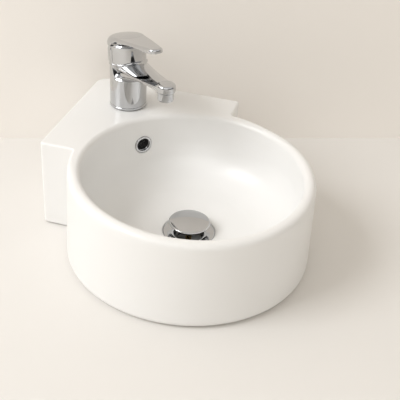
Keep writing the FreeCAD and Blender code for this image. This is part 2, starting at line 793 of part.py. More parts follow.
def click_spring():
    """Six free turns between the cartridge's floor and the plug's stem."""
    low = FLANGE_Z - s.cross_depth + s.click_floor + s.spring_wire
    high = FLANGE_Z - s.plunger_foot - s.spring_wire
    turns = 6
    quarters = turns * 4

    def spot(share):
        angle = 2 * math.pi * turns * share
        radius = float(s.spring_radius)
        height = float(low) + float(high - low) * share
        return FreeCAD.Vector(radius * math.cos(angle), radius * math.sin(angle), height)

    arcs = []
    for n in range(quarters):
        first, middle, last = (spot((n + part) / quarters) for part in (0.0, 0.5, 1.0))
        arcs.append(Part.Arc(first, middle, last).toShape())
    path = Part.Wire(arcs)
    along = arcs[0].tangentAt(arcs[0].FirstParameter)
    wire = Part.Circle(spot(0.0), along, float(s.spring_wire))
    corners = [wire.value(math.pi / 3 * n) for n in range(7)]
    spring = doc.addObject("Part::Feature", "click_spring")
    spring.Label = "click_spring"
    spring.Shape = path.makePipeShell([Part.makePolygon(corners)], True, False)
    place(spring, y=BOWL_Y)
    PIECES.append(spring)


def plug():
    under = s.plug_rise - s.plug_dome - s.plug_rim
    shoulder = s.plug_rise - s.plug_dome
    edge = s.plug_rim / 2
    skirt = s.plug_radius - s.skirt_wall
    inner = s.seal_top
    bulge = s.plug_radius - edge
    dome = (bulge * bulge + s.plug_dome * s.plug_dome) / (s.plug_dome * 2)
    cap = at_bowl("plug_cap", z=FLANGE_Z)
    spin(
        cap,
        (0.0, under),
        (inner, under),
        (inner, under + s.skirt_wall),
        (skirt, under + s.skirt_wall),
        (skirt, under),
        (s.plug_radius, under),
        (s.plug_radius, shoulder - edge),
        (bulge, shoulder, edge, 1),
        (0.0, s.plug_rise, dome, 1),
    )
    around = s.plunger_radius + s.fit_gap
    seal = at_bowl("plug_seal", z=FLANGE_Z)
    foot = s.tail_bore + s.face_gap
    spin(
        seal,
        (around, under - s.seal_height),
        (foot, under - s.seal_height),
        (foot, under - s.seal_height / 2),
        (s.seal_top, under - s.seal_height / 3),
        (s.seal_top, under),
        (around, under),
    )
    stem = at_bowl("plug_stem", z=FLANGE_Z)
    spin(
        stem,
        (0.0, -s.plunger_foot),
        (s.plunger_radius, -s.plunger_foot),
        (s.plunger_radius, under),
        (0.0, under),
    )


# ---------------------------------------------------------------- the mixer


def section(body, reach, half, low, side, crown, hollow):
    """Cross-section of the spout or the lever: flat below, hollow flanks, crowned on top."""
    flank = side - low
    flank_r = (flank * flank / 4 + hollow * hollow) / (hollow * 2)
    rise = crown - side
    crown_r = (half * half + rise * rise) / (rise * 2)
    sketch = new_sketch(body, "XZ", offset=reach)
    outline(
        sketch,
        (-half, low, flank_r, 1),
        (half, low),
        (half, side, flank_r, 1),
        (-half, side, crown_r, 1),
    )
    return sketch


def spout_sections(body):
    """From the tap axis out to the nose, the spout narrows, rises and flattens."""
    sections = []
    for share in (0.0, 0.14, 0.28, 0.42, 0.56, 0.75, 1.0):
        half = s.spout_root - (s.spout_root - s.nose_radius) * share
        low = s.spout_under + (s.nose_bottom - s.spout_under) * math.sin(math.pi / 2 * share)
        side = s.spout_side + (s.nose_side - s.spout_side) * share**1.6
        crown = side + s.nose_crown + (s.spout_crown - s.nose_crown) * (1 - share) ** 2.2
        hollow = s.spout_hollow * (1 - share / 2)
        sections.append(section(body, s.spout_reach * share, half, low, side, crown, hollow))
    return sections


def on_neck(height):
    """Place, in the tap's frame, of a point on the leaning axis."""
    return {
        "y": sine(s.tilt) * height,
        "z": s.knee_height + cosine(s.tilt) * height,
        "angle": -s.tilt,
    }


def ball_reach(height):
    """Radius, at a height on the leaning axis, of the ball shape that the lever swings round."""
    rise = height - s.pivot_height
    return root(s.collar_radius * s.collar_radius - rise * rise)


def mixer_trunk(body):
    """An upright trunk, a round knee and the leaning neck with its ledge."""
    spin(
        body,
        (0.0, BODY_Z),
        (s.base_radius, BODY_Z),
        (s.waist_radius, s.spout_under),
        (s.waist_radius, s.knee_height),
        (0.0, s.knee_height + s.waist_radius, s.waist_radius, 1),
    )
    rod(body, s.waist_radius, s.neck_ledge + 1.0, **on_neck(0.0))
    ball, neck = s.collar_radius, s.neck_radius
    spin(
        body,
        (0.0, s.neck_ledge),
        (neck, s.neck_ledge),
        (neck, s.pivot_height + root(ball * ball - neck * neck)),
        (ball_reach(s.neck_top), s.neck_top, s.collar_radius, 1),
        (0.0, s.neck_top),
        leaning=True,
    )


def mixer_spout(body):
    loft(body, spout_sections(body))
    flat = s.nose_radius - s.nose_round
    spin(
        body,
        (0.0, s.nose_bottom),
        (s.nose_radius, s.nose_bottom),
        (s.nose_radius, s.nose_top - s.nose_round),
        (flat, s.nose_top, s.nose_round, 1),
        (0.0, s.nose_top),
        ahead=s.spout_reach,
    )


def mixer_hollows(body):
    """Room for the cartridge and its nut, the waterways and the threads."""
    room = s.cartridge_radius + s.fit_gap * 2
    above = s.neck_top + 1.0
    rod(body, room, above + s.port_seal, cut=True, **on_neck(-s.port_seal))
    thread = s.nut_ring_radius + s.fit_gap
    rod(body, thread, above - s.cartridge_shoulder, cut=True, **on_neck(s.cartridge_shoulder))
    for x in (-s.inlet_side, s.inlet_side):
        rod(body, s.inlet_minor, s.inlet_depth, cut=True, x=x, y=-s.inlet_front, z=BODY_Z)
        rod(body, s.port_radius, s.knee_height - BODY_Z, cut=True, x=x, y=-s.inlet_front, z=BODY_Z)
    start = s.cartridge_radius - s.waterway
    long_way = s.spout_reach - start
    rod(body, s.spout_bore, long_way, cut=True, y=-start, z=s.spout_bore_start,
        angle=s.spout_bore_lean)
    chamber = s.aerator_radius - s.face_gap * 2
    rod(body, chamber, s.aerator_grip, cut=True, y=-s.spout_reach, z=s.nose_bottom)
    rod(body, s.stud_radius + s.fit_gap, s.stud_grip, cut=True, y=s.stud_back, z=BODY_Z)


def mixer_body():
    body = at_tap("mixer_body")
    mixer_spout(body)
    mixer_trunk(body)
    mixer_hollows(body)


def horseshoe(name, thick, z):
    body = at_tap(name, z=z)
    gap, outer = s.clamp_gap, s.clamp_radius
    mouth = -root(outer * outer - gap * gap)
    sketch = new_sketch(body, "XY")
    outline(
        sketch,
        (gap, mouth),
        (0.0, outer, outer, 1),
        (-gap, mouth, outer, 1),
        (-gap, s.clamp_end),
        (gap, s.clamp_end),
    )
    circle(sketch, s.stud_radius + s.face_gap, y=s.stud_back)
    extrude(body, sketch, thick)


def mixer_fixings():
    opening = s.tap_hole - s.fit_gap
    outer = s.base_radius + s.face_gap
    ring("base_ring", opening, outer, s.base_ring_height, s.base_gasket_height, at_tap)
    ring("base_gasket", opening, s.base_radius - 1.0, s.base_gasket_height, 0.0, at_tap)
    rubber = UNDER_DECK - s.clamp_rubber
    horseshoe("clamp_washer", s.clamp_rubber, rubber)
    horseshoe("clamp_plate", s.clamp_steel, rubber - s.clamp_steel)
    stud = at_tap("mounting_stud", z=BODY_Z - s.stud_length)
    rod(stud, s.stud_radius, s.stud_length + s.stud_grip - 0.5, y=s.stud_back)
    low = rubber - s.clamp_steel - s.nut_height
    nut("stud_nut", s.nut_flats, s.stud_radius + s.fit_gap, s.nut_height, at_tap, low, y=s.stud_back)


def at_nose(name, z=0.0):
    return piece(name, y=TAP_Y - s.spout_reach, z=s.nose_bottom + z)


def aerator():
    thread = s.aerator_radius - s.face_gap * 2 - s.fit_gap
    bore = s.aerator_core + s.fit_gap
    top = s.aerator_grip - 1.0
    housing = at_nose("aerator_housing")
    spin(
        housing,
        (bore, -s.aerator_height + 1.0),
        (bore - 0.6, -s.aerator_height),
        (s.aerator_radius - 0.8, -s.aerator_height),
        (s.aerator_radius, -s.aerator_height + 0.8),
        (s.aerator_radius, 0.0),
        (thread, 0.0),
        (thread, top),
        (bore, top),
    )
    insert = at_nose("aerator_insert")
    low = -s.aerator_height + 1.2
    sketch = new_sketch(insert, "XY", offset=low)
    circle(sketch, s.aerator_core)
    extrude(insert, sketch, top - low)
    hole = new_sketch(insert, "XY", offset=low - 1.0)
    circle(hole, 0.9, x=s.aerator_core * 0.68)
    jet = extrude(insert, hole, top - low + 2.0, cut=True)
    jets = insert.newObject("PartDesign::PolarPattern", "aerator_jets")
    jets.Originals = [jet]
    jets.Axis = (hole, ["N_Axis"])
    jets.Angle = 360.0
    jets.Occurrences = 12
    insert.Tip = jets
    ring("aerator_washer", s.aerator_core - 2.0, thread - 0.2, 0.9, top, at_nose)


# ---------------------------------------------------------------- the cartridge


def drilled_disc(name, radius, thick, z, holes, bore):
    """A disc on the leaning axis, with holes at the given places."""
    body = at_neck(name)
    sketch = new_sketch(body, "XY", offset=z)
    circle(sketch, radius)
    for x, y in holes:
        circle(sketch, bore, x=x, y=y)
    extrude(body, sketch, thick)
    return body


def cartridge_discs():
    ports = [(-s.inlet_side, -s.inlet_front), (s.inlet_side, -s.inlet_front)]
    seal_r = s.cartridge_radius - 1.0
    drilled_disc("port_seal", seal_r, s.port_seal, -s.port_seal, ports, s.port_radius)
    plate_r = s.cartridge_radius - s.fit_gap * 2
    drilled_disc("cartridge_base", plate_r, s.base_plate, 0.0, ports, s.port_radius)
    ways = [*ports, (0.0, s.inlet_side)]
    drilled_disc("fixed_disc", s.disc_radius, s.disc_thick, s.base_plate, ways, s.port_radius)
    moving = drilled_disc("moving_disc", s.moving_radius, s.disc_thick, DISC_Z, [], 0.0)
    rod(moving, s.moving_radius / 2, s.disc_thick / 2, cut=True, z=DISC_Z)
    finger = [(0.0, 0.0)]
    room = s.finger_radius + s.face_gap
    top = DISC_Z + s.disc_thick
    drilled_disc("disc_slider", s.moving_radius + 0.8, s.slider_thick, top, finger, room)


def cartridge_shell():
    bore = s.rotor_radius + s.fit_gap
    seat = s.rotor_flange + s.face_gap
    ledge = s.rotor_bottom + s.rotor_flange_thick + s.fit_gap
    spin(
        at_neck("cartridge_body"),
        (s.disc_room, s.base_plate),
        (s.cartridge_radius, s.base_plate),
        (s.cartridge_radius, s.cartridge_shoulder),
        (s.cartridge_neck, s.cartridge_shoulder),
        (s.cartridge_neck, s.cartridge_top),
        (bore, s.cartridge_top),
        (bore, ledge),
        (seat, ledge),
        (seat, s.rotor_bottom),
        (s.disc_room, s.rotor_bottom),
    )


def cartridge_rotor():
    body = at_neck("cartridge_rotor")
    top = s.cartridge_top - 0.5
    step = s.rotor_bottom + s.rotor_flange_thick
    spin(
        body,
        (0.0, s.rotor_bottom),
        (s.rotor_flange, s.rotor_bottom),
        (s.rotor_flange, step),
        (s.rotor_radius, step),
        (s.rotor_radius, top),
        (0.0, top),
    )
    wide = s.stem_side + s.face_gap
    swing = sine(s.lift_range) * (top - s.pivot_height) * 2 + s.stem_side
    brick(body, wide, swing + s.face_gap * 2, top, cut=True, y=s.face_gap, z=s.rotor_bottom)
    across = s.rotor_radius * 2 + 1.0
    rod(
        body,
        s.pin_radius + s.fit_gap,
        across,
        cut=True,
        x=-across / 2,
        z=s.pivot_height,
        axis=(0, 1, 0),
        angle=90,
    )


def pivot_pin():
    body = at_neck("pivot_pin")
    rod(body, s.pin_radius, s.pin_length, x=-s.pin_length / 2, z=s.pivot_height, axis=(0, 1, 0), angle=90)


def valve_stem():
    body = at_neck("valve_stem")
    brick(body, s.stem_side, s.stem_side, s.stem_top - s.stem_bottom, z=s.stem_bottom)
    rod(body, s.finger_radius - 0.5, s.stem_bottom - s.finger_height, z=s.finger_height)
    tip = body.newObject("PartDesign::AdditiveSphere", "stem_ball")
    bind(tip, Radius=s.finger_radius)
    place(tip, z=s.finger_height)
    across = s.stem_side + 2.0
    rod(
        body,
        s.pin_radius + s.fit_gap,
        across,
        cut=True,
        x=-across / 2,
        z=s.pivot_height,
        axis=(0, 1, 0),
        angle=90,
    )


def clamp_nut():
    body = at_neck("clamp_nut")
    bore = s.cartridge_neck + s.fit_gap * 2
    sketch = new_sketch(body, "XY", offset=s.cartridge_shoulder)
    circle(sketch, s.nut_ring_radius)
    circle(sketch, bore)
    extrude(body, sketch, s.nut_ring_height)
    top = new_sketch(body, "XY", offset=s.cartridge_shoulder + s.nut_ring_height)
    outline(top, *hexagon(s.nut_hex_flats))
    circle(top, bore)
    extrude(body, top, s.nut_hex_height)


def neck_shroud():
    """Ring that closes the neck under the handle and goes on with its ball shape."""
    body = at_neck("neck_shroud")
    spigot = s.nut_ring_radius
    low = s.neck_top - s.collar_spigot
    spin(
        body,
        (s.collar_bore, low),
        (spigot, low),
        (spigot, s.neck_top),
        (ball_reach(s.neck_top), s.neck_top),
        (ball_reach(s.collar_top), s.collar_top, s.collar_radius, 1),
        (s.collar_bore, s.collar_top),
    )
    far = s.neck_radius
    level = (s.collar_middle - s.neck_top) / s.collar_slope
    cut = new_sketch(body, "YZ")
    outline(
        cut,
        (-far, s.collar_middle + s.collar_slope * far),
        (level, s.neck_top),
        (far, s.neck_top),
        (far, s.collar_top * 2),
        (-far, s.collar_top * 2),
    )
    extrude(body, cut, s.neck_radius * 2, cut=True, both=True)


# ---------------------------------------------------------------- the lever


def handle_cap(body):
    flat = s.neck_radius - s.handle_round
    dome = (flat * flat + s.handle_dome * s.handle_dome) / (s.handle_dome * 2)
    spin(
        body,
        (0.0, s.skirt_bottom),
        (s.neck_radius, s.skirt_bottom),
        (s.neck_radius, HANDLE_SHOULDER - s.handle_round),
        (flat, HANDLE_SHOULDER, s.handle_round, 1),
        (0.0, s.handle_top, dome, 1),
    )


def handle_blade(body):
    """The lever narrows to a round tip."""
    hollow = s.spout_hollow / 4
    side = HANDLE_SHOULDER - 1.5
    end = s.blade_reach - s.blade_tip
    low = HANDLE_SHOULDER - s.blade_thick
    middle = (s.blade_root + s.blade_tip) / 2 + 0.8
    mid_low = (s.skirt_bottom + low) / 2
    sections = [
        section(body, s.blade_start, s.blade_root, s.skirt_bottom, side, HANDLE_SHOULDER, hollow),
        section(body, s.blade_waist, middle, mid_low, side, HANDLE_SHOULDER, hollow),
        section(body, end, s.blade_tip, low, side, HANDLE_SHOULDER, hollow),
    ]
    loft(body, sections)
    rod(body, s.blade_tip, s.blade_thick - 0.5, y=-end, z=low)


def handle_inside(body):
    wall = s.skirt_wall
    turn = s.handle_round - wall
    inner = s.neck_radius - wall
    ceiling = HANDLE_SHOULDER - wall
    spin(
        body,
        (0.0, s.skirt_bottom - 1.0),
        (inner, s.skirt_bottom - 1.0),
        (inner, HANDLE_SHOULDER - s.handle_round),
        (s.neck_radius - s.handle_round, ceiling, turn, 1),
        (0.0, ceiling),
        cut=True,
    )
    rod(body, s.hub_radius, ceiling - s.hub_bottom + wall / 2, z=s.hub_bottom)
    socket = s.stem_side + s.fit_gap * 2
    brick(body, socket, socket, s.stem_top - s.hub_bottom + s.face_gap, cut=True, z=s.hub_bottom)


def handle_cuts(body):
    """Arches at both sides of the lever's root, and the way in for the grub screw."""
    centre = s.arch_top - s.arch_radius
    for sign in (-1, 1):
        across, ahead = sine(s.arch_angle) * sign, -cosine(s.arch_angle)
        axis = (float(-ahead), float(across), 0)
        x, y = across * s.arch_start, ahead * s.arch_start
        rod(body, s.arch_radius, s.neck_radius, cut=True, x=x, y=y, z=centre, axis=axis, angle=90)
    rod(body, s.screw_radius + s.fit_gap, s.neck_radius, cut=True, z=s.screw_height, angle=-90)
    start = s.neck_radius - s.button_radius
    rod(body, s.button_radius, s.neck_radius, cut=True, y=start, z=s.screw_height, angle=-90)


def lever_handle():
    body = at_neck("lever_handle")
    handle_cap(body)
    handle_blade(body)
    handle_inside(body)
    handle_cuts(body)


def handle_screw():
    body = at_neck("handle_screw")
    start = s.stem_side / 2 + s.fit_gap
    rod(body, s.screw_radius, s.screw_length, y=start, z=s.screw_height, angle=-90)


def handle_button():
    body = at_neck("handle_button")
    thick = s.skirt_wall + s.face_gap
    start = s.neck_radius - thick
    rod(body, s.button_radius - s.fit_gap, thick, y=start, z=s.screw_height, angle=-90)


# ---------------------------------------------------------------- build, test and write


def build():
    basin()
    wall_bushes()
    overflow_ring()
    waste_body()
    waste_seals()
    waste_backnut()
    click_cartridge()
    click_spring()
    plug()
    mixer_body()
    mixer_fixings()
    aerator()
    cartridge_discs()
    cartridge_shell()
    cartridge_rotor()
    pivot_pin()
    valve_stem()
    clamp_nut()
    neck_shroud()
    lever_handle()
    handle_screw()
    handle_button()
    doc.recompute()


def test():
    for item in doc.Objects:
        if "Invalid" in item.State or "Error" in item.State:
            raise RuntimeError(f"{item.Label} failed: {item.State}")
    for item in PIECES:
        if item.Shape.isNull() or not item.Shape.isValid():
            raise RuntimeError(f"{item.Label} has no valid shape")
        wanted = 2 if item.Label == "wall_bushes" else 1
        if len(item.Shape.Solids) != wanted:
            raise RuntimeError(f"{item.Label} has {len(item.Shape.Solids)} solids")


def write():
    os.makedirs("parts", exist_ok=True)
    for item in PIECES:
        item.Shape.exportStep(f"parts/{item.Label}.step")
        print(f"{item.Label}: {item.Shape.Volume / 1000:.2f} cm3")


build()
test()
write()
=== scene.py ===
"""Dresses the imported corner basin: china, chromed tap and waste, and a plain stage around them.

Lengths inside the shape functions are millimetres in the row frame; meshes are written in metres.
"""

import math
from contextlib import contextmanager

import bmesh
import bpy
import numpy as np
from bpy.props import FloatProperty, FloatVectorProperty, IntProperty, PointerProperty
from mathutils import Matrix, Vector


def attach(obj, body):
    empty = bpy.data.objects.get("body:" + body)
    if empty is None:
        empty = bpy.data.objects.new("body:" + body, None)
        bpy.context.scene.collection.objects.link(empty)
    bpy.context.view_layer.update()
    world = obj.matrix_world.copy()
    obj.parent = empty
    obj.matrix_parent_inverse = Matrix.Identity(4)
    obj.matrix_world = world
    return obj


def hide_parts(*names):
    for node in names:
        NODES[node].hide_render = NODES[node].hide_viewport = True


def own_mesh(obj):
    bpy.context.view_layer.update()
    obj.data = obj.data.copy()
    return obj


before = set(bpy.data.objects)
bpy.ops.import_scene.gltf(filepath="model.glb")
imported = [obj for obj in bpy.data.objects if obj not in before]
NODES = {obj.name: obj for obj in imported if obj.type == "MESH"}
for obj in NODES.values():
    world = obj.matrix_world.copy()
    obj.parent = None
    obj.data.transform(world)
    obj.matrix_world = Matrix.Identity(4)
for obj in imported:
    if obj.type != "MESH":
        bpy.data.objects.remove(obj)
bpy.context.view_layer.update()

bl_info = {
    "name": "Corner basin",
    "version": (1, 0, 0),
    "blender": (4, 5, 0),
    "location": "3D View > Sidebar > Basin",
    "description": "Makes the china, the tap, the waste and the stage of a corner basin",
    "category": "Object",
}

MM = 0.001
ROOT2 = math.sqrt(2.0)
BOWL_Y = -195.0 * ROOT2
TAP_Y = -93.0
FLANGE_Z = -94.0
KNEE_Z = 55.0
TILT = math.radians(10.0)


# ---------------------------------------------------------------- settings


def length(name, value, text):
    """A length setting; value is in millimetres and the setting in metres."""
    return FloatProperty(
        name=name, description=text, default=value * MM, subtype="DISTANCE", unit="LENGTH"
    )


def colour(name, value, text):
    return FloatVectorProperty(
        name=name, description=text, default=value, subtype="COLOR", size=3, min=0.0, max=1.0
    )


class ChinaSettings(bpy.types.PropertyGroup):
    drum_radius: length("Drum radius", 150.0, "Outside of the drum at the rim")
    drum_flare: length("Drum flare", 3.0, "How much wider the drum is at its foot")
    drum_height: length("Drum height", 120.0, "From the deck to the foot")
    bowl_radius: length("Bowl radius", 134.5, "Inside of the bowl's wall")
    rim_round: length("Rim rounding", 8.0, "Rounding outside the rim")
    lip_round: length("Lip rounding", 7.0, "Rounding inside the rim")
    rim_dip: length("Rim dip", 6.5, "How much lower the rim runs at the front than at the deck")
    block_side: length("Deck block", 207.0, "Side of the deck block along each wall")
    block_edge: length("Deck edge", 3.2, "Rounding of the deck block's edges")
    glaze: colour("Glaze", (0.865, 0.865, 0.86), "Colour of the white glaze")


class TapSettings(bpy.types.PropertyGroup):
    spout_reach: length("Spout reach", 107.0, "Tap axis to the middle of the outlet")
    neck_radius: length("Neck radius", 26.0, "Outside of the leaning neck")
    lever_reach: length("Lever reach", 91.0, "Neck axis to the lever's tip")
    aerator_cells: IntProperty(
        name="Aerator cells", description="Cells across the aerator", default=9, min=3, max=21
    )
    chrome: colour("Chrome", (0.56, 0.565, 0.575), "Colour of the chrome plating")


class StageSettings(bpy.types.PropertyGroup):
    floor: colour("Floor", (0.80, 0.782, 0.758), "Colour of the floor")
    wall: colour("Wall", (0.93, 0.90, 0.865), "Colour of the wall behind")
    key: FloatProperty(name="Key light", description="Power of the large soft light", default=94.0)
    fill: FloatProperty(name="Fill light", description="Power of the front light", default=8.0)


def settings(part):
    return getattr(bpy.context.scene, f"basin_{part}")


# ---------------------------------------------------------------- meshes


def outward(points, faces):
    """The quads, all turned over if together they enclose a negative volume."""
    a, b, c, d = (points[faces[:, n]] for n in range(4))
    volume = (a * np.cross(b, c)).sum() + (a * np.cross(c, d)).sum()
    return faces if volume > 0.0 else faces[:, ::-1]


def plain_mesh(name, points, faces):
    """A mesh from points in millimetres and closed quads."""
    mesh = bpy.data.meshes.new(name)
    points, faces = np.asarray(points, float), np.asarray(faces)
    mesh.from_pydata((points * MM).tolist(), [], outward(points, faces).tolist())
    mesh.validate()
    return mesh


def linked(name, data):
    """A new object of the scene."""
    obj = bpy.data.objects.new(name, data)
    bpy.context.scene.collection.objects.link(obj)
    return obj


def new_object(name, mesh, finish_name, body, stands_for=(), sharp=35.0, normals=None):
    """A smooth object that rides on a body of the frame."""
    mesh.shade_smooth()
    if normals is None:
        mesh.set_sharp_from_angle(angle=math.radians(sharp))
    else:
        mesh.normals_split_custom_set_from_vertices(normals.tolist())
    obj = linked(name, mesh)
    mesh.materials.clear()
    mesh.materials.append(material(finish_name))
    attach(obj, body)
    if stands_for:
        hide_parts(*stands_for)
    return obj


def grid_mesh(name, *grids):
    """A mesh of several (rows, columns, 3) grids, each closed both ways, in millimetres."""
    points, faces, start = [], [], 0
    for grid in grids:
        rows, columns = grid.shape[:2]
        points.append(grid.reshape(-1, 3))
        r, c = np.meshgrid(np.arange(rows), np.arange(columns), indexing="ij")
        low, high = r * columns, (r + 1) % rows * columns
        beside = (c + 1) % columns
        quads = np.stack([low + c, low + beside, high + beside, high + c], -1)
        faces.append(quads.reshape(-1, 4) + start)
        start += rows * columns
    return plain_mesh(name, np.concatenate(points), np.concatenate(faces))


def arc(centre, radius, start, end, count):
    """Points (r, z) on an arc between two angles in degrees, both ends included."""
    turn = np.radians(np.linspace(start, end, count))
    return [(centre[0] + radius * math.cos(a), centre[1] + radius * math.sin(a)) for a in turn]


def split(profile, longest):
    """The profile with its long straight steps divided."""
    dense = []
    for (r0, z0), (r1, z1) in zip(profile, profile[1:]):
        parts = max(1, math.ceil(math.hypot(r1 - r0, z1 - z0) / longest))
        dense += [(r0 + (r1 - r0) * n / parts, z0 + (z1 - z0) * n / parts) for n in range(parts)]
    return dense + [profile[-1]]


def turned(profile, segments=192, longest=8.0):
    """Grid of a closed (r, z) profile revolved about Z; it runs anticlockwise as drawn."""
    closed = split(list(profile) + [profile[0]], longest)[:-1]
    r, z = np.array(closed).T
    turn = np.linspace(0, 2 * math.pi, segments, endpoint=False)
    grid = np.empty((len(r), segments, 3))
    grid[..., 0] = r[:, None] * np.cos(turn)
    grid[..., 1] = r[:, None] * np.sin(turn)
    grid[..., 2] = z[:, None]
    return grid


def shifted(grid, x=0.0, y=0.0, z=0.0):
    return grid + np.array([x, y, z])


def leaning(points):
    """From the neck's own frame (X, back, along the axis) to the row frame."""
    x, y, z = points[..., 0], points[..., 1], points[..., 2]
    cos, sin = math.cos(TILT), math.sin(TILT)
    return np.stack([x, TAP_Y + y * cos + z * sin, KNEE_Z - y * sin + z * cos], -1)


# ---------------------------------------------------------------- blended solids


def soft_min(a, b, width):
    share = np.clip(0.5 + 0.5 * (b - a) / width, 0.0, 1.0)
    return b + (a - b) * share - width * share * (1.0 - share)


def soft_max(a, b, width):
    return -soft_min(-a, -b, width)


def rounded_corner(beside, above, edge):
    """Distance to a form's rounded edge, from the distances to the edge's two inner limits."""
    outside = np.hypot(np.maximum(beside, 0.0), np.maximum(above, 0.0))
    return outside + np.minimum(np.maximum(beside, above), 0.0) - edge


def rounded_post(across, up, radius, top, edge):
    """Distance to a post of that radius and top whose upper edge is rounded."""
    return rounded_corner(across - (radius - edge), up - (top - edge), edge)


def slope(field, points, reach=0.04):
    """Gradient of a field at the points."""
    steps = np.eye(3) * reach
    return np.stack([(field(points + d) - field(points - d)) / (2 * reach) for d in steps], -1)


def skin(field, low, high, step, rounds=5):
    """Quads on the zero surface of a field: one point per crossed cell, then moved onto it."""
    axes = [np.arange(a, b + step, step) for a, b in zip(low, high)]
    grid = np.stack(np.meshgrid(*axes, indexing="ij"), -1)
    values = np.concatenate([field(slab) for slab in np.array_split(grid, 12)])
    inside = values < 0.0
    cells = tuple(n - 1 for n in values.shape)
    count = np.zeros(cells, np.int32)
    total = np.zeros(cells + (3,))
    crossings = []
    for axis in range(3):
        near = [slice(None)] * 3
        far = [slice(None)] * 3
        near[axis], far[axis] = slice(None, -1), slice(1, None)
        a, b = values[tuple(near)], values[tuple(far)]
        crossed = inside[tuple(near)] != inside[tuple(far)]
        share = np.where(crossed, a / np.where(crossed, a - b, 1.0), 0.0)
        crossings.append((crossed, inside[tuple(near)]))
        others = [n for n in range(3) if n != axis]
        for first in (0, 1):
            for second in (0, 1):
                part = [slice(None)] * 3
                part[others[0]] = slice(first, first + cells[others[0]])
                part[others[1]] = slice(second, second + cells[others[1]])
                hit = crossed[tuple(part)]
                count += hit
                total[..., axis] += np.where(hit, share[tuple(part)], 0.0)
                total[..., others[0]] += hit * first
                total[..., others[1]] += hit * second
    active = count > 0
    number = np.full(cells, -1)
    number[active] = np.arange(active.sum())
    origin = np.stack(np.nonzero(active), -1)
    points = np.array(low) + (origin + total[active] / count[active][:, None]) * step
    faces = []
    for axis, (crossed, start_inside) in enumerate(crossings):
        u, v = [(axis + 1) % 3, (axis + 2) % 3]
        places = np.stack(np.nonzero(crossed), -1)
        keep = (places[:, u] > 0) & (places[:, v] > 0)
        keep &= (places[:, u] < cells[u]) & (places[:, v] < cells[v])
        places = places[keep]
        quad = []
        for du, dv in ((1, 1), (0, 1), (0, 0), (1, 0)):
            cell = places.copy()
            cell[:, u] -= du
            cell[:, v] -= dv
            quad.append(number[tuple(cell.T)])
        quad = np.stack(quad, -1)
        flip = ~start_inside[tuple(places.T)]
        quad[flip] = quad[flip][:, ::-1]
        faces.append(quad)
    for _ in range(rounds):
        rise = slope(field, points)
        size = np.maximum((rise * rise).sum(-1), 0.05)
        move = (field(points) / size)[:, None] * rise
        points -= np.clip(move, -step / 2, step / 2)
    rise = slope(field, points)
    return points, np.concatenate(faces), rise / np.linalg.norm(rise, axis=1)[:, None]


# ---------------------------------------------------------------- shader groups


def group(name, inputs, outputs):
    """An empty shader node group with named sockets."""
    tree = bpy.data.node_groups.new(name, "ShaderNodeTree")
    for label, kind, value in inputs:
        socket = tree.interface.new_socket(label, in_out="INPUT", socket_type=f"NodeSocket{kind}")
        socket.default_value = value
    for label, kind in outputs:
        tree.interface.new_socket(label, in_out="OUTPUT", socket_type=f"NodeSocket{kind}")
    return tree, tree.nodes.new("NodeGroupInput"), tree.nodes.new("NodeGroupOutput")


def add(tree, kind, links=(), **values):
    """A node with its properties or inputs set; links are (socket, input name or number)."""
    node = tree.nodes.new(kind)
    for name, value in values.items():
        if hasattr(node, name):
            setattr(node, name, value)
        else:
            node.inputs[name.replace("_", " ")].default_value = value
    for source, target in links:
        tree.links.new(source, node.inputs[target])
    return node


def maths(tree, operation, first, second):
    """A math node; each side is a socket or a number."""
    node = add(tree, "ShaderNodeMath", operation=operation)
    for n, value in enumerate((first, second)):
        if isinstance(value, (int, float)):
            node.inputs[n].default_value = value
        else:
            tree.links.new(value, node.inputs[n])
    return node.outputs[0]


def mixed(tree, share, first, second):
    """Two colours mixed by a share; each colour is a socket or four numbers."""
    node = tree.nodes.new("ShaderNodeMix")
    node.data_type = "RGBA"
    tree.links.new(share, node.inputs[0])
    for n, value in ((6, first), (7, second)):
        if isinstance(value, tuple):
            node.inputs[n].default_value = value
        else:
            tree.links.new(value, node.inputs[n])
    return node.outputs[2]


def vector(tree, **parts):
    """A vector from sockets named by their axes."""
    links = [(socket, axis) for axis, socket in parts.items()]
    return add(tree, "ShaderNodeCombineXYZ", links).outputs[0]


def noise(tree, scale, **values):
    """Noise on Object coordinates, with its scale from a socket."""
    place = add(tree, "ShaderNodeTexCoord")
    links = [(place.outputs["Object"], "Vector"), (scale, "Scale")]
    return add(tree, "ShaderNodeTexNoise", links, **values).outputs["Fac"]


def blotch_group():
    """Soft uneven patches between two values, such as smears on chrome."""
    tree, given, made = group(
        "soft_blotches",
        [("Scale", "Float", 20.0), ("Low", "Float", 0.0), ("High", "Float", 1.0)],
        [("Value", "Float")],
    )
    patches = noise(tree, given.outputs["Scale"], Detail=4.0, Roughness=0.55)
    links = [(patches, "Value")]
    links += [(given.outputs["Low"], "To Min"), (given.outputs["High"], "To Max")]
    spread = add(tree, "ShaderNodeMapRange", links, From_Min=0.35, From_Max=0.65)
    tree.links.new(spread.outputs["Result"], made.inputs["Value"])
    return tree


def ripple_group():
    """Faint waves of a fired glaze or a cast skin under its plating."""
    tree, given, made = group(
        "surface_ripple",
        [
            ("Broad Scale", "Float", 30.0),
            ("Fine Scale", "Float", 400.0),
            ("Fine Share", "Float", 0.2),
        ],
        [("Height", "Float")],
    )
    broad = noise(tree, given.outputs["Broad Scale"], Detail=1.0)
    fine = noise(tree, given.outputs["Fine Scale"], Detail=2.0)
    part = maths(tree, "MULTIPLY", fine, given.outputs["Fine Share"])
    tree.links.new(maths(tree, "ADD", broad, part), made.inputs["Height"])
    return tree


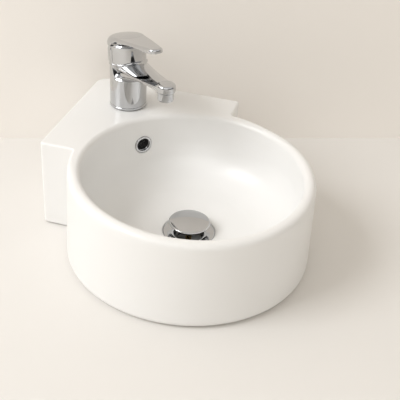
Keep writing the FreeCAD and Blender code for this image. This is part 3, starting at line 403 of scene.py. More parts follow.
def tint_group():
    """Two colours mixed by slow noise."""
    tree, given, made = group(
        "uneven_tint",
        [
            ("Colour", "Color", (1, 1, 1, 1)),
            ("Other", "Color", (0, 0, 0, 1)),
            ("Scale", "Float", 10.0),
        ],
        [("Colour", "Color")],
    )
    slow = noise(tree, given.outputs["Scale"], Detail=3.0)
    mix = mixed(tree, slow, given.outputs["Colour"], given.outputs["Other"])
    tree.links.new(mix, made.inputs["Colour"])
    return tree


GROUPS = {}


def shared(name):
    makers = {"blotches": blotch_group, "ripple": ripple_group, "tint": tint_group}
    if name not in GROUPS:
        GROUPS[name] = makers[name]()
    return GROUPS[name]


def finish(name, colours, tint_scale, rough, rough_scale, ripple, bump, **plain):
    """A Principled material with uneven tint, uneven roughness and a rippled surface.

    ripple is (broad scale, fine scale, fine share), bump is (strength, distance in metres).
    """
    material = bpy.data.materials.new(name)
    material.use_nodes = True
    tree = material.node_tree
    shader = tree.nodes["Principled BSDF"]
    for label, value in plain.items():
        shader.inputs[label.replace("_", " ")].default_value = value
    first, second = ((*tone, 1.0) for tone in colours)
    inputs = {
        "tint": {"Colour": first, "Other": second, "Scale": tint_scale},
        "blotches": {"Scale": rough_scale, "Low": rough[0], "High": rough[1]},
        "ripple": dict(zip(("Broad Scale", "Fine Scale", "Fine Share"), ripple)),
    }
    made = {
        label: add(tree, "ShaderNodeGroup", node_tree=shared(label), **values).outputs[0]
        for label, values in inputs.items()
    }
    strength, distance = bump
    height = [(made["ripple"], "Height")]
    relief = add(tree, "ShaderNodeBump", height, Strength=strength, Distance=distance)
    tree.links.new(made["tint"], shader.inputs["Base Color"])
    tree.links.new(made["blotches"], shader.inputs["Roughness"])
    tree.links.new(relief.outputs["Normal"], shader.inputs["Normal"])
    material.diffuse_color = (*colours[0], 1.0)
    return material


MATERIALS = {}


def material(name):
    """The named finish, made when first asked for."""
    if name not in MATERIALS:
        special = {"glaze": glaze, "chrome": plating}
        MATERIALS[name] = special[name]() if name in special else simple(name)
    return MATERIALS[name]


def darker(tone, share):
    return tuple(channel * share for channel in tone)


def glaze():
    tone = tuple(settings("china").glaze)
    tones, rough, ripple = (tone, darker(tone, 0.985)), (0.34, 0.40), (22.0, 300.0, 0.03)
    coat = {"IOR": 1.5, "Coat_Weight": 0.3, "Coat_Roughness": 0.24}
    return finish("white_glaze", tones, 9.0, rough, 14.0, ripple, (0.25, 0.0006), **coat)


def plating():
    tone = tuple(settings("tap").chrome)
    tones, rough, ripple = (tone, darker(tone, 0.97)), (0.03, 0.06), (60.0, 900.0, 0.05)
    bump = (0.06, 0.0002)
    return finish("chrome_plating", tones, 30.0, rough, 60.0, ripple, bump, Metallic=1.0)


def simple(kind):
    """A finish whose tint and roughness vary a little."""
    name, tone, rough, bump = SIMPLE[kind]
    plain = {"Metallic": 1.0} if kind in METALS else {}
    ripple = (120.0, 700.0, 0.5)
    return finish(name, (tone, darker(tone, 0.86)), 45.0, rough, 90.0, ripple, bump, **plain)


SIMPLE = {
    "rubber": ("black_rubber", (0.016, 0.016, 0.017), (0.42, 0.6), (0.25, 0.0002)),
    "seal": ("seal_rubber", (0.011, 0.011, 0.012), (0.28, 0.42), (0.12, 0.0001)),
    "steel": ("plain_steel", (0.50, 0.50, 0.51), (0.26, 0.38), (0.2, 0.0001)),
    "brass": ("bare_brass", (0.72, 0.52, 0.24), (0.22, 0.36), (0.2, 0.0001)),
    "white_plastic": ("white_plastic", (0.78, 0.78, 0.76), (0.36, 0.5), (0.12, 0.0001)),
    "grey_plastic": ("grey_plastic", (0.20, 0.205, 0.21), (0.34, 0.5), (0.12, 0.0001)),
    "black_plastic": ("black_plastic", (0.006, 0.006, 0.006), (0.4, 0.6), (0.1, 0.0001)),
    "disc": ("disc_ceramic", (0.80, 0.79, 0.75), (0.3, 0.45), (0.05, 0.0001)),
}
METALS = ("steel", "brass")

FINISHED_NODES = {
    "rubber": "waste_gasket waste_cone_washer base_gasket clamp_washer aerator_washer port_seal",
    "seal": "plug_seal",
    "steel": "click_spring clamp_plate mounting_stud pivot_pin handle_screw",
    "brass": "waste_backnut stud_nut plug_stem valve_stem clamp_nut",
    "white_plastic": "waste_slip_washer wall_bushes cartridge_base cartridge_body disc_slider",
    "grey_plastic": "click_cartridge aerator_insert cartridge_rotor handle_button",
    "disc": "fixed_disc moving_disc",
    "chrome": (
        "neck_shroud base_ring aerator_housing waste_body overflow_ring plug_cap mixer_body "
        "lever_handle"
    ),
    "glaze": "basin",
}


# ---------------------------------------------------------------- the china

WALL_TO_BOWL = 195.0
CASTING_WALL = 11.0
SHELL_RADIUS = 145.5
TURN_CENTRE = 80.5
TURN_DEPTH = 36.0
NOSE_ROUND = 18.0
CORNER_ROUND = 5.0
INNER_FILLET = 4.0
COLUMNS = (84, 7, 9, 7, 26, 7)
OVERFLOW_Y = BOWL_Y + 134.8
OVERFLOW_Z = -39.0
OVERFLOW_SEAT = 11.3
DECK_UNDERSIDE = -14.0
DIP_FOOT = -60.0
DIP_RISE = 55.0
DIP_SHARPNESS = 2.5
TAP_HOLE = 17.5
BOLT_HOLE = 7.0
BOLT_DEPTH = -60.0
BOLT_ALONG = 130.0


def half_outline(drum, inset):
    """Half the outline of drum and deck block, from the drum's front to the room corner.

    Points and outward normals are in (from left wall, from right wall) about the bowl's axis.
    """
    china = settings("china")
    far = china.block_side / MM - WALL_TO_BOWL - inset
    wall = inset - WALL_TO_BOWL
    corner, nose = max(CORNER_ROUND - inset, 1.5), max(NOSE_ROUND - inset, 1.5)
    bend = INNER_FILLET
    across = far + bend
    beyond = -math.sqrt((drum + bend) ** 2 - across**2)
    joint = math.atan2(beyond, across)
    spots, normals = [], []

    def round_part(centre, radius, start, end, count, sign=1.0):
        turn = np.linspace(start, end, count, endpoint=False)
        ray = np.stack([np.cos(turn), np.sin(turn)], -1)
        spots.append(np.array(centre) + ray * radius)
        normals.append(ray * sign)

    def straight_part(start, end, normal, count):
        share = np.linspace(0.0, 1.0, count, endpoint=False)[:, None]
        spots.append(np.array(start) * (1 - share) + np.array(end) * share)
        normals.append(np.tile(normal, (count, 1)))

    quarter = math.pi / 2
    round_part((0, 0), drum, quarter / 2, joint, COLUMNS[0])
    round_part((across, beyond), bend, joint + math.pi, math.pi, COLUMNS[1], -1.0)
    straight_part((far, beyond), (far, wall + corner), (1.0, 0.0), COLUMNS[2])
    round_part((far - corner, wall + corner), corner, 0.0, -quarter, COLUMNS[3])
    straight_part((far - corner, wall), (wall + nose, wall), (0.0, -1.0), COLUMNS[4])
    round_part((wall + nose, wall + nose), nose, -quarter, -1.5 * quarter, COLUMNS[5])
    spots.append(np.array([[wall + nose * (1 - 1 / ROOT2)] * 2]))
    normals.append(np.array([[-1.0, -1.0]]) / ROOT2)
    return np.concatenate(spots), np.concatenate(normals)


def whole(half):
    """Adds the mirrored other half; the two end columns lie on the plane of symmetry."""
    return np.concatenate([half, half[-2:0:-1, ::-1]])


def outline(drum, inset=0.0):
    spots, normals = half_outline(drum, inset)
    return whole(spots), whole(normals)


def on_block():
    """Share of the deck block at each column: 0 on the drum, 1 on the block."""
    blend, rest = 14, sum(COLUMNS[1:]) + 1
    rise = np.linspace(0.0, 1.0, blend + 2)[1:-1]
    rise = rise * rise * (3 - 2 * rise)
    half = np.concatenate([np.zeros(COLUMNS[0] - blend), rise, np.ones(rest)])
    return np.concatenate([half, half[-2:0:-1]])


def in_row_frame(plan, height):
    """Points from the plan about the bowl's axis and a height, in millimetres."""
    height = np.broadcast_to(height, plan.shape[:1])
    x = (plan[:, 0] - plan[:, 1]) / ROOT2
    y = BOWL_Y - (plan[:, 0] + plan[:, 1]) / ROOT2
    return np.stack([x, y, height], -1)


def china_rows():
    """Rows of the casting's skin, from the waste hole up, over the rim and back underneath."""
    china = settings("china")
    bowl, lip = china.bowl_radius / MM, china.lip_round / MM
    drum, foot = china.drum_radius / MM, (china.drum_radius + china.drum_flare) / MM
    deep = china.drum_height / MM
    turn = bowl - TURN_CENTRE
    plan, _ = outline(drum)
    rays = plan / np.linalg.norm(plan, axis=1)[:, None]
    block = on_block()
    edge = china.rim_round / MM * (1 - block) + china.block_edge / MM * block
    profile = [(23.0, -117.0), (23.0, -108.0), (23.0, -98.8), (23.8, -98.0), (33.3, -98.0)]
    profile += [(33.3, -94.6), (34.0, -93.9), (40.0, -93.4), (55.0, -92.2), (70.0, -90.9)]
    profile += arc((TURN_CENTRE, -TURN_DEPTH), turn, -90, 0, 27)
    profile += [(bowl, -34.0), (bowl, -26.0), (bowl, -16.0), (bowl, -8.5)]
    profile += arc((bowl + lip, -lip), lip, 180, 90, 11)
    rows = [in_row_frame(rays * r, z) for r, z in profile]
    crest = rays * (bowl + lip)

    def at_edge(radius, turned_by, level, sign):
        spots, normals = outline(radius)
        inset = edge * (1 - math.sin(turned_by))
        height = level + sign * edge * (1 - math.cos(turned_by))
        rows.append(in_row_frame(spots - normals * inset[:, None], height))

    spots, normals = outline(drum)
    top = spots - normals * edge[:, None]
    for share in (0.25, 0.6, 0.9):
        rows.append(in_row_frame(crest * (1 - share) + top * share, 0.0))
    quarter = math.pi / 2
    for angle in np.linspace(0.0, quarter, 11):
        at_edge(drum, angle, 0.0, -1.0)
    for share in (0.02, 0.1, 0.25, 0.4, 0.55, 0.7, 0.85, 0.98):
        height = -edge * (1 - share) + (edge - deep) * share
        rows.append(in_row_frame(outline(drum + (foot - drum) * share)[0], height))
    for angle in np.linspace(quarter, 0.0, 9):
        at_edge(foot, angle, -deep, 1.0)
    return [dipped(row) for row in rows] + cavity_rows(drum - CASTING_WALL, deep)


def dipped(row):
    """Lowers the upper part of the drum towards its front."""
    ahead = BOWL_Y - row[:, 1]
    facing = ahead / np.maximum(np.hypot(row[:, 0], ahead), 1.0)
    high = np.clip((row[:, 2] - DIP_FOOT) / DIP_RISE, 0.0, 1.0)
    share = (0.5 + 0.5 * facing) ** DIP_SHARPNESS * high * high * (3.0 - 2.0 * high)
    lower = row.copy()
    lower[:, 2] -= settings("china").rim_dip / MM * share
    return lower


def cavity_rows(inner, deep):
    """Rows of the hollow underside, from the foot's inner edge to the waste boss."""
    wall, _ = outline(inner, CASTING_WALL)
    reach = np.linalg.norm(wall, axis=1)
    rays = wall / reach[:, None]
    under_deck = reach > SHELL_RADIUS + 0.5
    shell = SHELL_RADIUS - TURN_CENTRE
    first = np.arccos(np.clip((reach - TURN_CENTRE) / shell, -1.0, 1.0))
    first = np.where(under_deck, 0.0, first)
    top = np.where(under_deck, DECK_UNDERSIDE, -TURN_DEPTH - shell * np.sin(first))
    rows = []
    for share in (0.0, 0.02, 0.2, 0.4, 0.6, 0.8, 0.97, 1.0):
        rows.append(in_row_frame(wall, -deep * (1 - share) + top * share))
    arc_parts = 20
    for step in range(1, 9):
        angle = first + (math.pi / 2 - first) * step / (8 + arc_parts)
        on_arc = TURN_CENTRE + shell * np.cos(angle)
        across, down = min(step / 5, 1.0), max(step - 5, 0) / 3
        over = reach * (1 - across) + SHELL_RADIUS * across
        height = DECK_UNDERSIDE * (1 - down) - TURN_DEPTH * down
        radius = np.where(under_deck, over, on_arc)
        level = np.where(under_deck, height, -TURN_DEPTH - shell * np.sin(angle))
        rows.append(in_row_frame(rays * radius[:, None], level))
    for step in range(1, arc_parts + 1):
        start = np.where(under_deck, 0.0, first + (math.pi / 2 - first) * 8 / (8 + arc_parts))
        angle = start + (math.pi / 2 - start) * step / arc_parts
        radius = TURN_CENTRE + shell * np.cos(angle)
        rows.append(in_row_frame(rays * radius[:, None], -TURN_DEPTH - shell * np.sin(angle)))
    boss = ((60.0, -102.0), (41.0, -102.9), (38.0, -103.3), (38.0, -116.0), (37.0, -117.0))
    for radius, level in boss:
        rows.append(in_row_frame(rays * radius, level))
    return rows


def prism(name, near, far):
    """A closed prism between two like rings of points, in millimetres."""
    count = len(near)
    faces = [list(range(count))[::-1], list(range(count, 2 * count))]
    faces += [[n, (n + 1) % count, count + (n + 1) % count, count + n] for n in range(count)]
    mesh = bpy.data.meshes.new(name)
    mesh.from_pydata([tuple(point * MM) for point in [*near, *far]], [], faces)
    return recalculated(mesh)


def slab(name, side_view, half_width):
    """A closed prism across X from a side view (forward of the bowl's axis, height)."""
    ahead, height = np.array(side_view).T
    sides = [np.full(len(ahead), x) for x in (-half_width, half_width)]
    return prism(name, *(np.stack([x, BOWL_Y + ahead, height], -1) for x in sides))


@contextmanager
def edited(mesh):
    """Gives the mesh's faces for a change, then turns them outwards and writes them back."""
    work = bmesh.new()
    work.from_mesh(mesh)
    yield mesh, work
    bmesh.ops.recalc_face_normals(work, faces=work.faces)
    work.to_mesh(mesh)
    work.free()


def recalculated(mesh):
    """The mesh with its faces turned outwards."""
    with edited(mesh):
        return mesh


def pin(name, start, end, radius, segments=64):
    """A closed round bar between two points, in millimetres."""
    start, end = Vector(start), Vector(end)
    along = (end - start).normalized()
    side = along.orthogonal().normalized()
    other = along.cross(side)
    turns = [2 * math.pi * n / segments for n in range(segments)]
    ring = [(side * math.cos(turn) + other * math.sin(turn)) * radius for turn in turns]
    return prism(name, [start + spot for spot in ring], [end + spot for spot in ring])


def combined(mesh, tools):
    """The mesh after its boolean steps; tools are (operation, mesh)."""
    work = linked("casting_work", mesh)
    others = []
    for number, (operation, tool) in enumerate(tools):
        other = linked(f"casting_tool_{number}", tool)
        others.append(other)
        step = work.modifiers.new(f"step_{number}", "BOOLEAN")
        step.operation = operation
        step.solver = "EXACT"
        step.object = other
    ready = work.evaluated_get(bpy.context.evaluated_depsgraph_get())
    made = bpy.data.meshes.new_from_object(ready)
    for obj in [work] + others:
        bpy.data.objects.remove(obj)
    return made


def overflow_tools():
    """The duct behind the bowl, its passage, and the round way in with the ring's seat."""
    bend, bowl_turn = (93.0, -50.0), (TURN_CENTRE, -TURN_DEPTH)
    outer = [(139.5, -22.0), (160.0, -22.0)] + arc(bend, 66.9, 0, -90, 20)
    outer += [(36.0, -116.9), (36.0, -99.5)] + arc(bowl_turn, 59.0, -90, 0, 20)
    inner = [(143.5, -28.0), (154.0, -28.0)] + arc(bend, 61.0, 0, -90, 20)
    inner += [(18.0, -111.0), (18.0, -104.0)] + arc(bowl_turn, 63.0, -90, 0, 20)
    start = (0, OVERFLOW_Y - OVERFLOW_SEAT, OVERFLOW_Z)
    way, seat = ((0, start[1] + depth, OVERFLOW_Z) for depth in (25.0, OVERFLOW_SEAT))
    return [
        ("UNION", slab("duct_outside", outer, 20.0)),
        ("DIFFERENCE", slab("duct_passage", inner, 14.0)),
        ("DIFFERENCE", pin("overflow_way", start, way, 9.5)),
        ("DIFFERENCE", pin("overflow_recess", start, seat, 12.6, 96)),
    ]


def deck_tools():
    """The tap's hole and the hole towards each wall."""
    tap = pin("tap_way", (0, TAP_Y, -16.0), (0, TAP_Y, 2.0), TAP_HOLE, 96)
    tools = [("DIFFERENCE", tap)]
    inside, outside = 12.0, -1.0
    for sign in (-1, 1):
        plan = [(across, BOLT_ALONG)[::sign] for across in (inside, outside)]
        ends = in_row_frame(np.array(plan)[:, ::-1] - WALL_TO_BOWL, BOLT_DEPTH)
        tools.append(("DIFFERENCE", pin(f"wall_way_{sign}", *ends, BOLT_HOLE)))
    return tools


def make_china():
    casting = grid_mesh("casting", np.stack(china_rows()))
    mesh = combined(casting, overflow_tools() + deck_tools())
    return new_object("china_basin", mesh, "glaze", "fixed", ["basin"], sharp=32.0)


# ---------------------------------------------------------------- the tap

BODY_Z = 4.0
NECK_LEDGE = 7.0
NECK_TOP = 30.4
PIVOT_Z = 18.0
BALL_RADIUS = 27.2
WAIST_RADIUS = 25.0
AERATOR_RADIUS = 10.0
CAP_SHOULDER = 41.5
SKIRT_BOTTOM = 31.0
SCOOP_LOW = 43.0
SCOOP_DEPTH = 4.6
WINDOW_DEPTH = 1.7
CARTRIDGE_BORE = 17.6
CARTRIDGE_SEAT = 21.05
INLET_ASIDE = 7.5
INLET_AHEAD = 4.0
STUD_BEHIND = 12.5
NOSE_RADIUS = 11.8
OUTLET_Z = 67.0
LEVER_WALL = 1.4
HUB_RADIUS = 8.0
SOCKET_HALF = 4.05
SCREW_Z = 35.0
SCREW_THREAD = 2.05
SCREW_HEAD = 3.2
MIXER_STEP = 0.67
LEVER_STEP = 0.5


def tap_places(points):
    """The points' places before the tap axis and in the neck's own leaning frame."""
    x, y, z = points[..., 0], points[..., 1] - TAP_Y, points[..., 2]
    cos, sin = math.cos(TILT), math.sin(TILT)
    rise = z - KNEE_Z
    return x, -y, z, y * cos - rise * sin, y * sin + rise * cos


def bar(across, up, radius, low, high):
    """Distance to an upright round bar with plain ends."""
    return np.maximum(across - radius, np.maximum(low - up, up - high))


def crowned(x, up, half, low, side, crown, hollow, edge):
    """Distance in one section to a form flat below, hollow at its flanks and crowned on top."""
    rise = crown - side
    radius = (half * half + rise * rise) / (2 * rise)
    top = np.hypot(x, up - crown + radius) - radius
    middle, tall = (side + low) / 2, (side - low) / 2
    bay = 1.0 - np.clip((up - middle) / tall, -1.0, 1.0) ** 2
    flank = np.abs(x) - half + hollow * bay
    return soft_max(soft_max(flank, low - up, edge), top, edge)


def step_up(value, start, end):
    """0 before start, 1 after end, smooth between."""
    share = np.clip((value - start) / (end - start), 0.0, 1.0)
    return share * share * (3.0 - 2.0 * share)


def behind_crease(ahead, z):
    """0 behind the slanting crease at each side of the body, 1 before it."""
    start = 1.0 + 7.0 * np.clip((NECK_LEDGE + KNEE_Z - z) / 19.0, 0.0, 1.0)
    return step_up(ahead, start, start + 2.2)


def spout_field(x, ahead, z):
    """The spout narrows, rises and flattens on its way to the nose."""
    tap = settings("tap")
    reach = tap.spout_reach / MM
    share = np.clip(ahead / reach, 0.0, 1.0)
    half = 24.8 - 13.0 * share
    low = 43.0 + 24.0 * np.sin(math.pi / 2 * share)
    side = 59.5 + 13.5 * share**1.6
    crown = side + 3.0 + 5.4 * (1 - share) ** 1.5
    hollow = (0.9 + 4.6 * (1.0 - share) ** 1.3) * behind_crease(ahead, z)
    across = crowned(x, z, half, low, side, crown, hollow, 1.0)
    arm = soft_max(across * 0.9, np.maximum(-ahead, ahead - reach), 0.2)
    nose = rounded_post(np.hypot(x, ahead - reach), z, NOSE_RADIUS, 77.0, 4.0)
    return soft_min(arm, soft_max(nose, OUTLET_Z - z, 0.8), 3.0)


def mixer_field(points):
    """Trunk, leaning neck and spout, less the rooms for cartridge, aerator and inlets."""
    x, ahead, z, back, up = tap_places(points)
    tap = settings("tap")
    across = np.hypot(x, ahead)
    leaning_across = np.hypot(x, back)
    waist = 24.5 + 0.5 * np.clip((z - BODY_Z) / 39.0, 0.0, 1.0)
    front = behind_crease(ahead, z)
    scoop = np.clip((z - SCOOP_LOW) / np.maximum(z - SCOOP_LOW + NECK_LEDGE - up, 1.0), 0.0, 1.0)
    scoop = SCOOP_DEPTH * front * 4.0 * scoop * (1.0 - scoop)
    trunk = np.maximum(across - waist, np.maximum(BODY_Z - z, z - KNEE_Z))
    knee = np.sqrt(across**2 + (z - KNEE_Z) ** 2) - WAIST_RADIUS
    trunk = np.minimum(trunk, knee)
    trunk = np.minimum(trunk, bar(leaning_across, up, WAIST_RADIUS, 0.0, NECK_LEDGE + 1.0))
    trunk = np.maximum(trunk * 0.9, (across - WAIST_RADIUS + scoop) * 0.8)
    trunk = np.where(up > NECK_LEDGE, np.maximum(trunk, up - NECK_LEDGE), trunk)
    ball = np.sqrt(leaning_across**2 + (up - PIVOT_Z) ** 2) - BALL_RADIUS
    window = step_up(np.arctan2(-back, np.abs(x)), math.radians(5), math.radians(8))
    radius = tap.neck_radius / MM - WINDOW_DEPTH * window
    side = soft_max(leaning_across - radius, ball, 0.6)
    neck = soft_max(side, np.maximum(NECK_LEDGE - 1.0 - up, up - NECK_TOP), 0.4)
    sill = np.maximum(leaning_across - WAIST_RADIUS - 0.6, np.abs(up - NECK_LEDGE + 0.6) - 0.6)
    spout = spout_field(x, ahead, z)
    solid = soft_min(soft_min(spout, neck, 2.6), soft_min(trunk, sill, 1.2), 0.8)
    rooms = np.minimum(
        bar(leaning_across, up, CARTRIDGE_BORE, -1.2, NECK_TOP + 3.0),
        bar(leaning_across, up, CARTRIDGE_SEAT, 19.0, NECK_TOP + 3.0),
    )
    nose = np.hypot(x, ahead - tap.spout_reach / MM)
    rooms = np.minimum(rooms, bar(nose, z, AERATOR_RADIUS - 0.6, 60.0, 74.0))
    for sign in (-1, 1):
        inlet = np.hypot(x - INLET_ASIDE * sign, ahead - INLET_AHEAD)
        rooms = np.minimum(rooms, bar(inlet, z, 4.5, 0.0, 18.0))
        rooms = np.minimum(rooms, bar(inlet, z, 3.6, 0.0, KNEE_Z))
    stud = np.hypot(x, ahead + STUD_BEHIND)
    rooms = np.minimum(rooms, bar(stud, z, 3.05, 0.0, 14.0))
    return np.maximum(solid, -rooms)


def lever_field(points):
    """Cap and paddle of the lever in the neck's frame, hollow under the cap."""
    x, back, up = points[..., 0], points[..., 1], points[..., 2]
    tap = settings("tap")
    ahead, across = -back, np.hypot(x, back)
    radius = tap.neck_radius / MM
    dome = 0.7 * (1.0 - np.clip(across / 18.0, 0.0, 1.0) ** 2)
    facing = np.arctan2(ahead, np.abs(x))
    skirt = SKIRT_BOTTOM + 3.9 * step_up(facing, math.radians(3), math.radians(16))
    cap = rounded_post(across, up, radius, CAP_SHOULDER + dome, 8.0)
    cap = soft_max(cap, (skirt - up) * 0.9, 0.5)
    end = tap.lever_reach / MM - 10.0
    share = np.clip((ahead - 6.0) / (end - 6.0), 0.0, 1.0)
    half = 21.5 - 11.5 * share + 0.8 * np.sin(math.pi * share)
    low = 34.9 + 2.2 * np.sin(math.pi * share) ** 2 + 0.5 * share
    outline = np.where(ahead > end, np.hypot(x, ahead - end) - 10.0, np.abs(x) - half)
    edge = 3.2
    blade = rounded_corner(outline + edge, up - CAP_SHOULDER + edge, edge)
    blade = soft_max(blade, low - up, 1.4)
    blade = np.maximum(blade, 4.0 - ahead)
    solid = soft_min(cap, blade, 1.5)
    inside = rounded_post(across, up, radius - LEVER_WALL, CAP_SHOULDER - LEVER_WALL, 6.6)
    hub = bar(across, up, HUB_RADIUS, 32.5, CAP_SHOULDER)
    socket = np.maximum(np.maximum(np.abs(x), np.abs(back)) - SOCKET_HALF, up - 37.3)
    screw = np.hypot(x, up - SCREW_Z)
    thread = np.maximum(screw - SCREW_THREAD, -back)
    head = np.maximum(screw - SCREW_HEAD, radius - 3.2 - back)
    for room in (np.maximum(inside, -hub), socket, thread, head):
        solid = np.maximum(solid, -room)
    return solid


def make_mixer():
    low, high = (-27.5, TAP_Y - 121.0, 3.0), (27.5, TAP_Y + 34.0, 90.0)
    points, faces, normals = skin(mixer_field, low, high, MIXER_STEP)
    mesh = plain_mesh("mixer_casting", points, faces)
    return new_object("mixer_casting", mesh, "chrome", "fixed", ["mixer_body"], normals=normals)


def make_lever():
    low, high = (-27.5, -93.0, 30.0), (27.5, 27.5, 43.5)
    points, faces, normals = skin(lever_field, low, high, LEVER_STEP)
    cos, sin = math.cos(TILT), math.sin(TILT)
    turn = np.array([[1, 0, 0], [0, cos, sin], [0, -sin, cos]])
    mesh = plain_mesh("mixer_lever", leaning(points), faces)
    normals = normals @ turn.T
    return new_object("mixer_lever", mesh, "chrome", "lever", ["lever_handle"], normals=normals)


# ---------------------------------------------------------------- repeated pieces

SEED = 7
PITCH = 2.309
SLOTS_DEPTH = 13.5
CROSS_DEPTH = 42.5
SPRING_FOOT = 38.0
WEB_DEPTH = 3.9
SCREEN_DEPTH = 11.2


def node_tools(name, **inputs):
    """A geometry node group whose named inputs come with a seed and a material."""
    tree = bpy.data.node_groups.new(name, "GeometryNodeTree")
    tree.interface.new_socket("Geometry", in_out="OUTPUT", socket_type="NodeSocketGeometry")
    for label, value in dict(inputs, Seed=SEED).items():
        kind = "NodeSocketInt" if isinstance(value, int) else "NodeSocketFloat"
        socket = tree.interface.new_socket(label, in_out="INPUT", socket_type=kind)
        socket.default_value = value
    tree.interface.new_socket("Material", in_out="INPUT", socket_type="NodeSocketMaterial")
    return tree, tree.nodes.new("NodeGroupInput").outputs


def close_tools(tree, out, socket):
    """Ends a group with Realize Instances and Set Material."""
    real = add(tree, "GeometryNodeRealizeInstances", [(socket, "Geometry")])
    links = [(real.outputs["Geometry"], "Geometry"), (out["Material"], "Material")]
    paint = add(tree, "GeometryNodeSetMaterial", links)
    made = tree.nodes.new("NodeGroupOutput")
    tree.links.new(paint.outputs["Geometry"], made.inputs["Geometry"])
    return tree


def thread_ridge():
    """A round ridge that follows a helix."""
    tree, out = node_tools("thread_ridge", Radius=0.02, Pitch=0.002, Turns=10.0, Depth=0.0005)
    path = {"Rotations": out["Turns"], "Start Radius": out["Radius"], "End Radius": out["Radius"]}
    path["Height"] = maths(tree, "MULTIPLY", out["Pitch"], out["Turns"])
    links = [(socket, name) for name, socket in path.items()]
    helix = add(tree, "GeometryNodeCurveSpiral", links, Resolution=64)
    circle = "GeometryNodeCurvePrimitiveCircle"
    section = add(tree, circle, [(out["Depth"], "Radius")], Resolution=6)
    links = [(helix.outputs["Curve"], "Curve"), (section.outputs["Curve"], "Profile Curve")]
    sweep = add(tree, "GeometryNodeCurveToMesh", links, Fill_Caps=True)
    return close_tools(tree, out, sweep.outputs["Mesh"])


def crossed_bars():
    """Bars laid across each other like a star."""
    tree, out = node_tools("crossed_bars", Count=4, Length=0.016, Width=0.001, Depth=0.001)
    size = vector(tree, X=out["Length"], Y=out["Width"], Z=out["Depth"])
    one = add(tree, "GeometryNodeMeshCube", [(size, "Size")])
    line = "GeometryNodeMeshLine"
    places = add(tree, line, [(out["Count"], "Count")], Offset=(0.0, 0.0, 0.00002))
    number = add(tree, "GeometryNodeInputIndex").outputs[0]
    step = maths(tree, "DIVIDE", math.pi, out["Count"])
    spin = vector(tree, Z=maths(tree, "MULTIPLY", number, step))
    links = [(places.outputs["Mesh"], "Points"), (one.outputs["Mesh"], "Instance")]
    laid = add(tree, "GeometryNodeInstanceOnPoints", links + [(spin, "Rotation")])
    return close_tools(tree, out, laid.outputs["Instances"])


def woven_screen():
    """Two layers of parallel bars, each cut to the chord of a round screen."""
    sizes = {"Count": 9, "Spacing": 0.0015, "Radius": 0.0075, "Width": 0.0003}
    tree, out = node_tools("woven_screen", **sizes)
    span = maths(tree, "MULTIPLY", maths(tree, "SUBTRACT", out["Count"], 1.0), out["Spacing"])
    first = vector(tree, Y=maths(tree, "MULTIPLY", span, -0.5))
    step = vector(tree, Y=out["Spacing"])
    links = [(out["Count"], "Count"), (first, "Start Location"), (step, "Offset")]
    places = add(tree, "GeometryNodeMeshLine", links)
    where = add(tree, "GeometryNodeInputPosition")
    beside = add(tree, "ShaderNodeSeparateXYZ", [(where.outputs[0], 0)]).outputs["Y"]
    square = maths(tree, "MULTIPLY", out["Radius"], out["Radius"])
    rest = maths(tree, "SUBTRACT", square, maths(tree, "MULTIPLY", beside, beside))
    chord = maths(tree, "MULTIPLY", maths(tree, "SQRT", rest, 0.0), 2.0)
    size = vector(tree, X=chord, Y=out["Width"], Z=out["Width"])
    unit = add(tree, "GeometryNodeMeshCube", Size=(1.0, 1.0, 1.0))
    links = [(places.outputs["Mesh"], "Points"), (unit.outputs["Mesh"], "Instance")]
    links.append((size, "Scale"))
    laid = add(tree, "GeometryNodeInstanceOnPoints", links).outputs["Instances"]
    turn = {"Rotation": (0.0, 0.0, math.pi / 2), "Translation": (0.0, 0.0, 0.0002)}
    crossed = add(tree, "GeometryNodeTransform", [(laid, "Geometry")], **turn)
    layers = add(tree, "GeometryNodeJoinGeometry")
    for socket in (laid, crossed.outputs["Geometry"]):
        tree.links.new(socket, layers.inputs["Geometry"])
    return close_tools(tree, out, layers.outputs["Geometry"])


def repeated(name, tree, values, finish_name):
    """Runs a node group with its inputs set by name and returns its mesh."""
    host = linked(f"{name}_host", bpy.data.meshes.new(name))
    step = host.modifiers.new("repeat", "NODES")
    step.node_group = tree
    values = dict(values, Material=material(finish_name), Seed=SEED)
    for item in tree.interface.items_tree:
        if item.in_out == "INPUT" and item.name in values:
            step[item.identifier] = values[item.name]
    host.update_tag()
    ready = host.evaluated_get(bpy.context.evaluated_depsgraph_get())
    mesh = bpy.data.meshes.new_from_object(ready)
    bpy.data.objects.remove(host)
    if not mesh.polygons:
        raise RuntimeError(f"{name}: the node group made nothing")
    return recalculated(mesh)


def move(mesh, turn, place):
    """Turns a mesh in metres and carries it to a place in millimetres."""
    matrix = Matrix(turn.tolist()).to_4x4()
    matrix.translation = Vector(place) * MM
    mesh.transform(matrix)


# ---------------------------------------------------------------- the turned pieces


def on_bowl_axis(grid, z=0.0):
    return shifted(grid, y=BOWL_Y, z=z)


def facing_bowl(grid):
    """Turns a piece made about Z so that it looks out of the overflow hole."""
    x, y, z = grid[..., 0], grid[..., 1], grid[..., 2]
    return np.stack([x, OVERFLOW_Y - z, OVERFLOW_Z + y], -1)


def turned_piece(name, grids, finish_name, body, stands_for=()):
    return new_object(name, grid_mesh(name, *grids), finish_name, body, stands_for)


